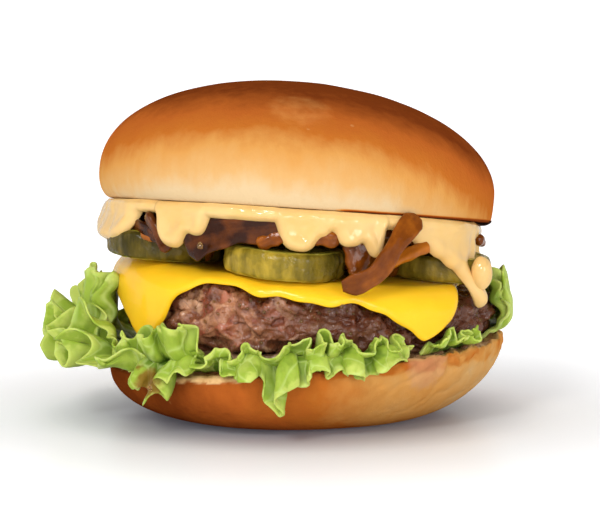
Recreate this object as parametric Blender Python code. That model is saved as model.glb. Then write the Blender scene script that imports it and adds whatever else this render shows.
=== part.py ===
"""Cheeseburger: a toasted bun with a beef patty, a melted cheese slice, pickle slices, fried onions,
sauce and frilly lettuce. X is to the right, -Y is the side that is shown, +Z is up.
Every size is in millimetres, and mesh_object turns it into metres. The origin is on the flat underside."""

import math
import random

import bmesh
import bpy
import numpy as np
from mathutils import Matrix, Vector, noise

MM = 0.001
GAP = 0.35  # between two neighbours, so that no two solids touch

# Heel, the lower half of the bun
HEEL_CENTRE_X = 3.5
HEEL_RADIUS = 55.5
HEEL_FLAT_SHARE = 0.55  # share of the radius that lies flat
HEEL_CUT_Z = 17.4
HEEL_CUT_SLOPE_X = 0.075
HEEL_CUT_SLOPE_Y = -0.02
HEEL_CRUMB_DOME = 2.4  # how far the crumb stands proud in the middle
HEEL_DOME_SLOPE_X = -0.035  # and how much less it does so towards the right

# Patty
PATTY_CENTRE_X = 4.7
PATTY_RADIUS = 52.0
PATTY_EDGE = 5.0  # radius of its rounded rims
PATTY_TOP_Z = 38.8
PATTY_TOP_SLOPE_X = -0.078
PATTY_BASE_Z = 21.7
PATTY_BASE_SLOPE_X = 0.02
PATTY_CRAG = 3.0  # depth of the crags

# Cheese slice, a square laid over the patty with two corners at the front
CHEESE_CENTRE = (0.6, -1.3)
CHEESE_HALF = 49.4
CHEESE_THICK = 3.0
CHEESE_LOOSE = 1.15  # how far its inner face stands off the patty's rounded rim
CHEESE_TURN = math.radians(-6.6)
CHEESE_CORNER_ROUND = 0.085  # how much the melted corners are drawn in
CHEESE_LEFT_BULGE = 2.0  # how far the middle of its left side sags outwards
CHEESE_RIGHT_SHORT = 2.6  # how much sooner its right side ends

# Crown, the upper half of the bun
CROWN_RADIUS = 55.2
CROWN_HEIGHT = 36.0
CROWN_WIDEST_Z = 7.3
CROWN_CUT_Z = 56.5
CROWN_TILT_X = math.radians(-5.4)  # the shown side is propped up
CROWN_TILT_Y = math.radians(3.8)  # the right side sits lower

# Pickle slices: centre x, centre y, radius, thickness, forward tilt in degrees
PICKLES = {
    "pickle_left": (-35.2, -16.5, 16.2, 7.6, 0.5),
    "pickle_middle": (-2.5, -38.5, 16.0, 7.6, 2.4),
    "pickle_right": (39.5, -17.0, 14.0, 6.8, 1.0),
    "pickle_back_left": (-22.0, 27.0, 15.5, 4.6, -1.0),
    "pickle_back_right": (21.0, 31.0, 15.0, 4.6, -1.0),
}
PICKLE_BITE = 0.45  # clearance to the cheese below

# Sauce: angle, half width in degrees and length of each drip, measured from the rim downwards
SAUCE_RADIUS = 53.7
SAUCE_HEM = 2.5  # length of the rim between the drips
SAUCE_WALL = 2.0
SAUCE_CROWDING = 0.5  # how much closer together the front's drips are meshed
SAUCE_DRIPS = (
    (198, 15, 9.6),
    (236, 7.5, 10.6),
    (271.5, 5.6, 8.6),
    (286.5, 4.0, 7.4),
    (293.5, 3.4, 10.0),
    (312, 9, 9.4),
    (327.5, 4.6, 20.2),
    (350, 8, 3.5),
    (13, 7, 12.5),
    (38, 9, 5.5),
    (66, 9, 9.5),
    (93, 10, 5.0),
    (118, 9, 10.0),
    (146, 9, 6.0),
)

LEAF_THICK = 0.9


def smoothstep(edge0, edge1, x):
    t = min(1.0, max(0.0, (x - edge0) / (edge1 - edge0)))
    return t * t * (3.0 - 2.0 * t)


def blend(a, b, t):
    return a + (b - a) * t


def power(x, exponent):
    """x to an exponent, keeping its sign."""
    return math.copysign(abs(x) ** exponent, x)


def heel_top(x, y):
    """Height of the heel's cut rim."""
    return HEEL_CUT_Z + HEEL_CUT_SLOPE_X * x + HEEL_CUT_SLOPE_Y * y


def heel_face(x, y):
    """Height of the heel's crumb, which is domed."""
    share = min(1.0, math.hypot(x - HEEL_CENTRE_X, y) / HEEL_RADIUS)
    return heel_top(x, y) + (HEEL_CRUMB_DOME + HEEL_DOME_SLOPE_X * x) * (1.0 - share * share)


def patty_top(x):
    return PATTY_TOP_Z + PATTY_TOP_SLOPE_X * x


def patty_base(x):
    return PATTY_BASE_Z + PATTY_BASE_SLOPE_X * x


def cheese_top(x):
    return patty_top(x) + GAP + CHEESE_THICK


def crown_cut(x, y):
    """Height of the crown's cut face."""
    return CROWN_CUT_Z - math.tan(CROWN_TILT_Y) * x + math.tan(CROWN_TILT_X) * y


def sauce_slab(y):
    """Thickness of the sauce between the onions and the crown, less towards the back."""
    return max(1.9, 3.3 - 0.03 * (y + 25.0))


def onion_base(x, y):
    return 52.3 + PATTY_TOP_SLOPE_X * x - 0.06 * (y + 25.0)


def clear_scene():
    for obj in list(bpy.data.objects):
        bpy.data.objects.remove(obj, do_unlink=True)


def material(name, colour, roughness):
    mat = bpy.data.materials.new(name)
    mat.use_nodes = True
    shader = mat.node_tree.nodes["Principled BSDF"]
    shader.inputs["Base Color"].default_value = (*colour, 1.0)
    shader.inputs["Roughness"].default_value = roughness
    shader.inputs["Metallic"].default_value = 0.0
    return mat


def mesh_object(name, points, faces, mat=None):
    """A smooth-shaded object from points in millimetres."""
    mesh = bpy.data.meshes.new(name)
    mesh.from_pydata([Vector(p) * MM for p in points], [], faces)
    mesh.validate()
    mesh.shade_smooth()
    obj = bpy.data.objects.new(name, mesh)
    bpy.context.scene.collection.objects.link(obj)
    if mat:
        mesh.materials.append(mat)
    return obj


def turned(name, rings, segments, place, mat=None):
    """A closed body of rings round an axis. place(angle, ring) gives a point, the first and last ring are poles."""
    points = [place(0.0, rings[0])]
    for ring in rings[1:-1]:
        points += [place(2 * math.pi * k / segments, ring) for k in range(segments)]
    points.append(place(0.0, rings[-1]))
    faces = []
    for k in range(segments):
        after = (k + 1) % segments
        faces.append((0, 1 + after, 1 + k))
        for row in range(len(rings) - 3):
            low = 1 + row * segments
            high = low + segments
            faces.append((low + k, low + after, high + after, high + k))
        top = 1 + (len(rings) - 3) * segments
        faces.append((top + k, top + after, len(points) - 1))
    return mesh_object(name, points, faces, mat)


def helper(obj):
    """Marks a cutter, which is left out of renders."""
    obj.hide_render = True
    obj.display_type = "WIRE"
    return obj


def keep_largest_body(mesh):
    """Drops the loose scraps that a cut leaves."""
    bm = bmesh.new()
    bm.from_mesh(mesh)
    bodies = []
    waiting = set(bm.verts)
    while waiting:
        stack = [waiting.pop()]
        body = set(stack)
        while stack:
            for edge in stack.pop().link_edges:
                for vert in edge.verts:
                    if vert in waiting:
                        waiting.discard(vert)
                        body.add(vert)
                        stack.append(vert)
        bodies.append(body)
    bodies.sort(key=len)
    for body in bodies[:-1]:
        bmesh.ops.delete(bm, geom=list(body), context="VERTS")
    bm.to_mesh(mesh)
    bm.free()


def combine(obj, others, operation, solver="EXACT"):
    """Applies Boolean modifiers on obj and keeps the largest body that is left."""
    for other in others:
        modifier = obj.modifiers.new(operation.lower(), "BOOLEAN")
        modifier.operation = operation
        modifier.solver = solver
        modifier.object = other
    graph = bpy.context.evaluated_depsgraph_get()
    made = bpy.data.meshes.new_from_object(obj.evaluated_get(graph))
    obj.modifiers.clear()
    keep_largest_body(made)
    made.name = obj.name
    obj.data = made
    return obj


def remove(objects):
    for obj in objects:
        bpy.data.objects.remove(obj, do_unlink=True)


def make_heel(mat, grow=0.0):
    """The lower bun: a shallow dish with a flat underside and a slightly domed cut face."""
    wall = [("wall", a) for a in np.linspace(0.14, 1.0, 8)]
    rings = [("flat", 0.0), ("flat", 1.0), *wall, ("crumb", 0.96), ("crumb", 0.8), ("crumb", 0.45), ("crumb", 0.0)]

    def place(angle, ring):
        kind, share = ring
        side = math.cos(angle)
        dimple = 0.012 * math.sin(3 * angle + 0.6) + 0.008 * math.sin(5 * angle)
        radius = HEEL_RADIUS * (1.0 + dimple) + grow
        if kind == "crumb":
            r = share * (radius - 0.8)
            x, y = HEEL_CENTRE_X + r * side, r * math.sin(angle)
            return x, y, heel_face(x, y) + grow
        if kind == "flat":
            r = share * HEEL_FLAT_SHARE * radius
            return HEEL_CENTRE_X + r * side, r * math.sin(angle), -grow
        exponent = blend(2.0, 1.7, 0.5 + 0.5 * side)
        r = radius * blend(HEEL_FLAT_SHARE, 1.0, math.sin(share * math.pi / 2) ** (2 / exponent))
        x, y = HEEL_CENTRE_X + r * side, r * math.sin(angle)
        lift = 1.0 - math.cos(share * math.pi / 2) ** (2 / exponent)
        return x, y, blend(-grow, heel_top(x, y) - 0.5 + grow, lift)

    return turned("heel_bun", rings, 36, place, mat)


def patty_shell(distance, offset):
    """Radius and drop of a point on the patty, at a distance from its top centre and off its surface."""
    flat = PATTY_RADIUS - PATTY_EDGE
    turn = (distance - flat) / PATTY_EDGE
    if turn <= 0.0:
        return distance, -offset
    if turn <= math.pi / 2:
        return flat + (PATTY_EDGE + offset) * math.sin(turn), PATTY_EDGE - (PATTY_EDGE + offset) * math.cos(turn)
    return PATTY_RADIUS + offset, PATTY_EDGE + distance - flat - PATTY_EDGE * math.pi / 2


def crag(x, y, z):
    """Depth of the minced meat's crags, from 0 to 1."""
    lumps = noise.noise(Vector((x, y, 1.3 * z)) / 8.0)
    fine = noise.noise(Vector((x, y, z)) / 3.4 + Vector((7.0, 0.0, 3.0)))
    return min(1.0, max(0.0, 0.45 + 1.0 * lumps + 0.6 * fine))


def make_patty(mat, grow=0.0):
    """The patty: a thick disc with rounded rims, craggy all round."""
    reach = PATTY_RADIUS - PATTY_EDGE
    rim = [reach + a for a in np.linspace(0.0, PATTY_EDGE * math.pi / 2, 4)]
    rings = [("base", 0.0), ("base", 0.55 * reach), *[("base", d) for d in rim[:-1]], ("side", 0.0), ("side", 0.33)]
    rings += [("side", 0.66), ("side", 1.0), *[("top", d) for d in reversed(rim[:-1])], ("top", 0.8 * reach)]
    rings += [("top", 0.4 * reach), ("top", 0.0)]

    def place(angle, ring):
        kind, value = ring
        if kind == "side":
            radius, drop = PATTY_RADIUS + grow, PATTY_EDGE
        else:
            radius, drop = patty_shell(value, grow)
        x, y = PATTY_CENTRE_X + radius * math.cos(angle), radius * math.sin(angle)
        low, high = patty_base(x) + drop, patty_top(x) - drop
        z = {"base": low, "top": high, "side": blend(low, high, value)}[kind]
        if kind != "side" and value < reach * 0.9:
            return x, y, z
        bite = PATTY_CRAG * crag(x, y, z)
        inward = Vector((PATTY_CENTRE_X - x, -y, 0.0)).normalized() * bite
        settle = 0.35 * bite * (1.0 if kind == "base" else -1.0 if kind == "top" else 0.0)
        return x + inward.x, y + inward.y, z + settle

    return turned("patty", rings, 52, place, mat)


def cheese_point(s, t, offset):
    """A point of the cheese slice draped over the patty. s and t run from -1 to 1 across the square."""
    half = CHEESE_HALF + 1.0 * math.sin(4.1 * s + 1.0) * t * t + 0.9 * math.sin(4.7 * t + 0.4) * s * s
    across = half * s * (1.0 - CHEESE_CORNER_ROUND * t**8) - CHEESE_RIGHT_SHORT * max(0.0, s) ** 2
    across -= CHEESE_LEFT_BULGE * max(0.0, -s) ** 3 * (1.0 - t * t)
    along = half * t * (1.0 - CHEESE_CORNER_ROUND * s**8)
    a = across * math.cos(CHEESE_TURN) - along * math.sin(CHEESE_TURN) + CHEESE_CENTRE[0] - PATTY_CENTRE_X
    b = across * math.sin(CHEESE_TURN) + along * math.cos(CHEESE_TURN) + CHEESE_CENTRE[1]
    distance, angle = math.hypot(a, b), math.atan2(b, a)
    flat = PATTY_RADIUS - PATTY_EDGE
    loose = CHEESE_LOOSE * smoothstep(flat - 9.0, flat - 3.0, distance) if offset < CHEESE_THICK / 2 else 0.0
    radius, drop = patty_shell(distance, offset + loose)
    x, y = PATTY_CENTRE_X + radius * math.cos(angle), radius * math.sin(angle)
    return x, y, patty_top(x) - drop


def make_cheese(mat, grow=0.0):
    """The melted slice, with both faces following the patty."""
    steps = 15
    marks = [power(v, 0.8) for v in np.linspace(-1.0, 1.0, steps)]
    stretch = 1.0 + grow / CHEESE_HALF
    low, high = GAP - grow, GAP + CHEESE_THICK + grow
    points, faces = [], []
    for height, inset in ((low, 0.985), ((low + high) / 2, 1.0), (high, 0.975)):
        points += [cheese_point(s * inset * stretch, t * inset * stretch, height) for t in marks for s in marks]
    layer = steps * steps
    for j in range(steps - 1):
        for i in range(steps - 1):
            corner = [j * steps + i, j * steps + i + 1, (j + 1) * steps + i + 1, (j + 1) * steps + i]
            faces.append(tuple(2 * layer + k for k in corner))
            faces.append(tuple(reversed(corner)))
    border = [i for i in range(steps)] + [j * steps + steps - 1 for j in range(1, steps)]
    border += [layer - 1 - i for i in range(1, steps)] + [j * steps for j in range(steps - 2, 0, -1)]
    for here, after in zip(border, border[1:] + border[:1]):
        for level in (0, layer):
            faces.append((level + here, level + after, level + layer + after, level + layer + here))
    obj = mesh_object("cheese_slice", points, faces, mat)
    bm = bmesh.new()
    bm.from_mesh(obj.data)
    bmesh.ops.delete(bm, geom=[v for v in bm.verts if not v.link_faces], context="VERTS")
    bm.to_mesh(obj.data)
    bm.free()
    return obj


def make_pickle(name, mat, grow=0.0):
    """A thick crinkle-free pickle slice lying on the cheese, with a slightly lumpy skin."""
    x, y, radius, thick, tilt = PICKLES[name]
    phase = x * 0.37 + y
    rings = [("low", 0.0), ("low", 0.93), ("rim", 0.14), ("rim", 0.5), ("rim", 0.86), ("high", 0.93), ("high", 0.0)]

    def place(angle, ring):
        kind, share = ring
        lumps = 0.022 * math.sin(3 * angle + phase) + 0.012 * math.sin(7 * angle + 2 * phase)
        outer = radius * (1.0 + lumps) + grow
        low, high = -grow, thick + grow
        if kind == "low":
            r, z = share * outer, low
        elif kind == "high":
            r, z = share * outer, high
        else:
            r, z = outer * (1.0 - 0.06 * (2 * share - 1) ** 4), blend(low, high, share)
        return r * math.cos(angle), r * math.sin(angle), z

    obj = turned(name, rings, 20, place, mat)
    lean = Matrix.Rotation(math.radians(tilt), 4, "X") @ Matrix.Rotation(-math.atan(PATTY_TOP_SLOPE_X), 4, "Y")
    rest = cheese_top(x) + PICKLE_BITE + 0.1
    obj.data.transform(lean)
    obj.location = Vector((x, y, rest)) * MM
    return obj


def make_crown(mat, grow=0.0):
    """The upper bun: an elliptical dome on a tucked-in lower edge, tilted back and to the right."""
    tuck = [("tuck", a) for a in np.linspace(0.0, 1.0, 4)[:-1]]
    dome = [("dome", a) for a in np.linspace(0.0, 0.9, 9)]
    rings = [("cut", 0.0), ("cut", 0.7), *tuck, *dome, ("dome", 1.0)]

    def place(angle, ring):
        kind, share = ring
        side = math.cos(angle)
        radius = CROWN_RADIUS * (1.0 + 0.006 * math.sin(3 * angle + 1.1)) + grow
        foot = 0.955 + 0.03 * side
        exponent = 2 / (2.08 - 0.12 * side)
        top = CROWN_HEIGHT + grow
        if kind == "cut":
            r, z = share * foot * radius, -grow
        elif kind == "tuck":
            turn = share * math.pi / 2
            r = radius * blend(foot, 1.0, math.sin(turn))
            z = blend(-grow, CROWN_WIDEST_Z, 1.0 - math.cos(turn))
        else:
            turn = share * math.pi / 2
            r = radius * math.cos(turn) ** exponent if share < 1.0 else 0.0
            z = blend(CROWN_WIDEST_Z, top, math.sin(turn) ** exponent)
        return r * side, r * math.sin(angle), z

    obj = turned("crown_bun", rings, 40, place, mat)
    obj.rotation_euler = (CROWN_TILT_X, CROWN_TILT_Y, 0.0)
    obj.location = (0.0, 0.0, CROWN_CUT_Z * MM)
    return obj


def smooth_path(points, count):
    """A smooth curve through the given points, as count evenly spread ones."""
    ends = [2 * points[0] - points[1], *points, 2 * points[-1] - points[-2]]
    path = []
    for k in range(count):
        f = k / (count - 1) * (len(points) - 1)
        i = min(int(f), len(points) - 2)
        t = f - i
        a, b, c, d = ends[i : i + 4]
        path.append(
            0.5 * (2 * b + (c - a) * t + (2 * a - 5 * b + 4 * c - d) * t * t + (3 * b - a - 3 * c + d) * t**3)
        )
    return path


def make_strip(name, route, width, thick, mat=None, grow=0.0, stations=9, sides=8):
    """A strip of fried onion: a flat oval section along a curve, its broad side facing out of the burger."""
    path = smooth_path([Vector(p) for p in route], stations)
    points, faces = [], []
    start = path[0] - (path[1] - path[0]).normalized() * (0.25 * width + grow)
    points.append(start)
    for k, here in enumerate(path):
        along = (path[min(k + 1, stations - 1)] - path[max(k - 1, 0)]).normalized()
        out = Vector((here.x, here.y, 0.0)).normalized()
        out = (out - along * out.dot(along)).normalized()
        across = along.cross(out).normalized()
        end = math.sin(math.pi * blend(0.16, 0.84, k / (stations - 1))) ** 0.6
        for j in range(sides):
            turn = 2 * math.pi * j / sides
            w = (0.5 * width * end + grow) * math.cos(turn)
            h = (0.5 * thick * end + grow) * math.sin(turn)
            points.append(here + across * w + out * h)
    points.append(path[-1] + (path[-1] - path[-2]).normalized() * (0.25 * width + grow))
    for j in range(sides):
        after = (j + 1) % sides
        faces.append((0, 1 + j, 1 + after))
        for k in range(stations - 1):
            low = 1 + k * sides
            faces.append((low + j, low + sides + j, low + sides + after, low + after))
        top = 1 + (stations - 1) * sides
        faces.append((top + j, len(points) - 1, top + after))
    obj = mesh_object(name, points, faces, mat)
    bm = bmesh.new()
    bm.from_mesh(obj.data)
    bmesh.ops.recalc_face_normals(bm, faces=bm.faces)
    bm.to_mesh(obj.data)
    bm.free()
    return obj


# Onion strips that show at the front: route as angles and heights, width and thickness
FRONT_STRIPS = (
    (((242, 52.7), (250, 55.5), (258, 56.8), (266, 56.6)), 7.6, 3.8),
    (((257, 52.8), (265, 52.6)), 3.8, 3.6),
    (((219, 58.4), (222, 56.7), (229, 54.5)), 3.2, 3.4),
    (((231, 58.0), (234, 54.5), (238, 51.5)), 4.0, 3.4),
    (((212, 54.9), (221, 54.7), (229, 54.1)), 3.6, 3.8),
    (((276, 57.6), (279, 55.3), (278, 52.9)), 5.4, 3.6),
    (((273, 53.5), (283, 52.7)), 3.8, 3.4),
    (((299, 49.9), (306, 50.7), (314, 51.5)), 5.0, 4.2),
    (((285, 52.6), (288, 49.6), (289, 47.2)), 7.0, 3.8),
    (((334, 53.1), (343, 52.3), (352, 51.5)), 3.6, 3.6),
)
STRIP_RADIUS = 49.2  # the front strips stay behind the hanging sauce
LONG_STRIP = ((30.5, -47.5, 55.9), (26.5, -51.5, 51.1), (22.5, -54.0, 46.3), (17.5, -56.6, 42.6), (12.5, -57.6, 41.5))
LONG_STRIP_WIDTH = 5.0
LONG_STRIP_THICK = 2.6
BACK_STRIPS = 6
ONION_RADIUS = 47.9


def back_strips():
    """Strips round the back, spread evenly with seeded jitter."""
    draw = random.Random(7)
    for k in range(BACK_STRIPS):
        middle = blend(22, 192, (k + 0.5) / BACK_STRIPS) + draw.uniform(-5, 5)
        turn = draw.uniform(6, 11)
        rise = draw.uniform(-0.5, 0.9)
        route = []
        for step in (-1, 0, 1):
            angle = math.radians(middle + step * turn)
            x, y = ONION_RADIUS * math.cos(angle), ONION_RADIUS * math.sin(angle)
            height = (onion_base(x, y) + crown_cut(x, y) - sauce_slab(y)) / 2
            route.append((middle + step * turn, height + step * rise))
        yield route, draw.uniform(2.6, 3.4), draw.uniform(3.0, 3.8)


def onion_strips(grow=0.0):
    """The strips of the heap, each as its own body."""
    strips = []
    for route, width, thick in (*FRONT_STRIPS, *back_strips()):
        turns = [math.radians(degrees) for degrees, _ in route]
        path = [(STRIP_RADIUS * math.cos(a), STRIP_RADIUS * math.sin(a), z) for a, (_, z) in zip(turns, route)]
        strips.append(make_strip("strip", path, width, thick, grow=grow, stations=5, sides=6))
    return strips


def make_onions(mat, grow=0.0):
    """The onion heap: a low uneven core with the strips that show fused on."""
    rings = [("low", 0.0), ("low", 0.6), ("low", 0.93), ("rim", 1.0), ("high", 0.93), ("high", 0.6), ("high", 0.0)]

    def place(angle, ring):
        kind, share = ring
        radius = ONION_RADIUS + 0.5 * math.sin(5 * angle) + 0.4 * math.sin(9 * angle + 1.3) + grow
        x, y = share * radius * math.cos(angle), share * radius * math.sin(angle)
        low = onion_base(x, y) - grow
        high = crown_cut(x, y) - sauce_slab(y) + grow
        return x, y, {"low": low, "high": high, "rim": (low + high) / 2}[kind]

    core = turned("onions", rings, 28, place, mat)
    strips = onion_strips(grow)
    combine(core, strips, "UNION", "MANIFOLD")
    remove(strips)
    return core


def sauce_length(angle):
    """How far the sauce hangs at an angle."""
    degrees = math.degrees(angle) % 360.0
    hang = SAUCE_HEM + 0.5 * math.sin(7 * angle + 0.5)
    for middle, width, length in SAUCE_DRIPS:
        off = abs((degrees - middle + 180.0) % 360.0 - 180.0) / width
        if off < 1.3:
            hang += length * (1.0 - (off / 1.3) ** 2.4) ** 0.8
    return hang


def sauce_radius(angle, z):
    """Outer radius of the hanging sauce, which follows the cheese and patty lower down."""
    rim = SAUCE_RADIUS + 0.5 * math.sin(4 * angle + 0.7) + 0.4 * math.sin(9 * angle)
    rim += 1.6 * smoothstep(0.75, 1.0, math.cos(angle - math.radians(325)))
    rim -= 2.6 * smoothstep(0.80, 0.98, math.cos(angle - math.radians(2)))
    left = smoothstep(0.6, 1.0, math.cos(angle - math.radians(190)))
    rim += left * blend(0.7, -1.6, smoothstep(52.0, 59.5, z))
    below = PATTY_RADIUS + 2 * GAP + SAUCE_WALL + PATTY_CENTRE_X * math.cos(angle)
    return blend(max(below, rim), rim, smoothstep(34.0, 45.0, z))


def make_sauce(mat):
    """The sauce: a slab under the crown whose rim rolls over and hangs down in drips."""
    rings = [("under", 0.0), ("under", 0.965), ("inner", 0.0), ("inner", 0.7), ("tip", 0.0)]
    rings += [("outer", 0.9), ("outer", 0.6), ("outer", 0.3), ("outer", 0.0), ("over", 0.96), ("over", 0.0)]

    def place(turn, ring):
        kind, share = ring
        angle = turn - SAUCE_CROWDING * math.cos(turn)
        side, up = math.cos(angle), math.sin(angle)
        edge = sauce_radius(angle, 60.0)
        rim_z = crown_cut(edge * side, edge * up)
        hang = sauce_length(angle)
        if kind in ("under", "over"):
            r = share * (edge if kind == "over" else edge - SAUCE_WALL)
            x, y = r * side, r * up
            z = crown_cut(x, y) - (sauce_slab(y) - 2 * GAP if kind == "under" else GAP)
            if kind == "over" and share > 0.9:
                z -= 0.5
            return x, y, z
        floor_z = rim_z - sauce_slab(edge * up) + 2 * GAP - 0.1
        tip_z = min(rim_z - hang, floor_z - 0.7)
        span = {"inner": (floor_z, tip_z + 0.5), "tip": (tip_z, tip_z), "outer": (rim_z - 1.1, tip_z + 0.4)}[kind]
        z = blend(*span, share)
        swell = 0.8 * math.sin(math.pi * share) * smoothstep(5.0, 12.0, hang) if kind == "outer" else 0.0
        r = sauce_radius(angle, z) + swell
        r -= {"inner": SAUCE_WALL, "tip": 0.5 * SAUCE_WALL, "outer": 0.0}[kind]
        return r * side, r * up, z

    return turned("sauce", rings, 64, place, mat)


# Lettuce leaves. Angles run along the frilly edge, and the leaf leaves the burger at the bend radius.
# first and last angle, bend radius, length in and out of it, height over the heel, bend in degrees (up is
# positive), number of frills, their depth, phase, rows across, columns per frill
LEAVES = {
    "lettuce_left_upper": (150, 202, 49.5, 5.0, 23.5, 4.4, 83.0, 3.5, 2.8, 0.4, 4, 9),
    "lettuce_left_middle": (158, 212, 50.5, 6.0, 21.0, 2.8, 38.0, 4.5, 3.2, 1.9, 4, 9),
    "lettuce_left_lower": (172, 224, 51.0, 5.0, 17.5, 1.2, 22.0, 4.0, 2.4, 3.1, 4, 9),
    "lettuce_left_front": (214, 243, 54.0, 6.0, 9.5, 1.9, -34.0, 2.5, 3.0, 2.4, 3, 11),
    "lettuce_front": (246, 303, 55.5, 6.0, 10.5, 1.5, -46.0, 6.5, 3.2, 0.9, 3, 10),
    "lettuce_right_front": (311, 331, 55.0, 3.0, 5.0, 1.3, 40.0, 2.5, 1.2, 2.2, 2, 9),
    "lettuce_right": (346, 372, 57.0, 3.0, 18.0, 1.3, 106.0, 2.5, 2.4, 5.2, 4, 9),
    "lettuce_back": (40, 138, 55.0, 6.0, 8.5, 1.5, -30.0, 5.0, 2.2, 0.2, 3, 8),
}
LEAF_BEND_SHARE = 0.36  # share of the free length over which a leaf bends, before it runs straight


def leaf_point(spec, s, t):
    """The middle of a leaf: s runs along its frilly edge and t from its hidden inner edge outwards."""
    first, last, bend_radius, tuck, length, lift, bend, frills, depth, phase = spec[:10]
    bend = math.radians(bend)
    wave = 2 * math.pi * frills * s + phase + 0.55 * math.sin(2 * math.pi * s * 1.7 + phase)
    ends = smoothstep(-0.05, 0.16, s) * smoothstep(1.05, 0.84, s)
    uneven = 1.0 + 0.17 * math.sin(2 * math.pi * 2.3 * s + 2 * phase) + 0.10 * math.cos(wave)
    angle = math.radians(blend(first, last, s))
    travel = t * (tuck + length * uneven * blend(0.45, 1.0, ends)) - tuck
    arc = LEAF_BEND_SHARE * length
    turn = bend * min(1.0, max(0.0, travel / arc))
    straight = max(0.0, travel - arc)
    along = min(0.0, travel) + arc / bend * math.sin(turn) + straight * math.cos(turn)
    climb = arc / bend * (1.0 - math.cos(turn)) + straight * math.sin(turn)
    ruffle = depth * smoothstep(0.05 * length, 0.85 * length, travel) * blend(0.4, 1.0, ends) * math.sin(wave)
    radius = bend_radius + along - ruffle * math.sin(turn)
    x, y = radius * math.cos(angle), radius * math.sin(angle)
    tucked = bend_radius - tuck
    low = heel_face(tucked * math.cos(angle), tucked * math.sin(angle))
    return Vector((x, y, max(low, heel_face(x, y)) + lift + climb + ruffle * math.cos(turn)))


def make_leaf(name, mat, grow=0.0):
    """A thin wavy solid, both faces split into triangles alike."""
    spec = LEAVES[name]
    across, steps = spec[10], round(spec[7] * spec[11])
    spread_s, spread_t = grow / 60.0, grow / 25.0
    columns = np.linspace(-spread_s, 1.0 + spread_s, steps + 1)
    rows = np.linspace(-spread_t, 1.0 + spread_t, across + 1)
    centre = [[leaf_point(spec, s, t) for s in columns] for t in rows]
    top, base = [], []
    for j in range(across + 1):
        for i in range(steps + 1):
            along = centre[j][min(i + 1, steps)] - centre[j][max(i - 1, 0)]
            out = centre[min(j + 1, across)][i] - centre[max(j - 1, 0)][i]
            normal = out.cross(along).normalized()
            top.append(centre[j][i] + normal * (0.5 * LEAF_THICK + grow))
            base.append(centre[j][i] - normal * (0.5 * LEAF_THICK + grow))
    row, count = steps + 1, len(top)
    faces = []
    for j in range(across):
        for i in range(steps):
            a, b, c, d = j * row + i, j * row + i + 1, (j + 1) * row + i + 1, (j + 1) * row + i
            faces += [(a, b, c), (a, c, d), (count + c, count + b, count + a), (count + d, count + c, count + a)]
    border = list(range(row)) + [j * row + steps for j in range(1, across + 1)]
    border += [across * row + steps - i for i in range(1, row)] + [j * row for j in range(across - 1, 0, -1)]
    for here, after in zip(border, border[1:] + border[:1]):
        faces += [(here, count + here, count + after), (here, count + after, after)]
    obj = mesh_object(name, top + base, faces, mat)
    bm = bmesh.new()
    bm.from_mesh(obj.data)
    bmesh.ops.recalc_face_normals(bm, faces=bm.faces)
    bm.to_mesh(obj.data)
    bm.free()
    return obj


def main():
    clear_scene()
    crust = material("crust", (0.55, 0.22, 0.05), 0.35)
    meat = material("meat", (0.22, 0.09, 0.05), 0.5)
    cheddar = material("cheese", (0.90, 0.58, 0.04), 0.3)
    gherkin = material("pickle", (0.20, 0.18, 0.03), 0.3)
    fried_onion = material("onion", (0.25, 0.08, 0.02), 0.3)
    cream = material("sauce", (0.90, 0.65, 0.26), 0.25)
    leaf = material("lettuce", (0.36, 0.50, 0.08), 0.4)

    make_heel(crust)
    make_patty(meat)
    make_cheese(cheddar)
    make_crown(crust)
    cheese_cutter = helper(make_cheese(None, GAP))
    crown_cutter = helper(make_crown(None, GAP))
    patty_cutter = helper(make_patty(None, GAP))
    pickle_cutters = []
    for name in PICKLES:
        make_pickle(name, gherkin)
        pickle_cutters.append(helper(make_pickle(name, None, GAP)))

    onions = make_onions(fried_onion)
    combine(onions, [*pickle_cutters, cheese_cutter, crown_cutter], "DIFFERENCE", "MANIFOLD")
    onion_cutter = helper(make_onions(None, GAP))
    long_strip = make_strip("onion_long_strip", LONG_STRIP, LONG_STRIP_WIDTH, LONG_STRIP_THICK, fried_onion)
    combine(long_strip, [onion_cutter, cheese_cutter, *pickle_cutters, crown_cutter], "DIFFERENCE")
    strip_cutter = helper(make_strip("cutter", LONG_STRIP, LONG_STRIP_WIDTH, LONG_STRIP_THICK, None, GAP))

    sauce = make_sauce(cream)
    strip_cutters = [strip_cutter, *onion_strips(GAP)]
    combine(sauce, [*strip_cutters, *pickle_cutters, cheese_cutter, patty_cutter], "DIFFERENCE", "MANIFOLD")

    leaf_cutters = [helper(make_heel(None, GAP)), patty_cutter, cheese_cutter]
    for name in LEAVES:
        combine(make_leaf(name, leaf), leaf_cutters, "DIFFERENCE")
        leaf_cutters.append(helper(make_leaf(name, None, GAP)))
    remove([crown_cutter, onion_cutter, *strip_cutters, *pickle_cutters, *leaf_cutters])


main()
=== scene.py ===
"""The looks of a cheeseburger: a toasted bun, sauce, fried onions, pickle slices, melted cheese, patty
and frilly lettuce. Laid out as an add-on and run as a script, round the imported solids.
Lengths inside the shape functions are in millimetres, X to the right, -Y towards the camera, +Z up."""

import math
import random
from collections import namedtuple

import bmesh
import bpy
import numpy as np
from bpy.props import FloatProperty, FloatVectorProperty, IntProperty, PointerProperty
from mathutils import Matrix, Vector, noise
from mathutils.kdtree import KDTree
from numpy import cos, pi, radians, sin


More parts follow.
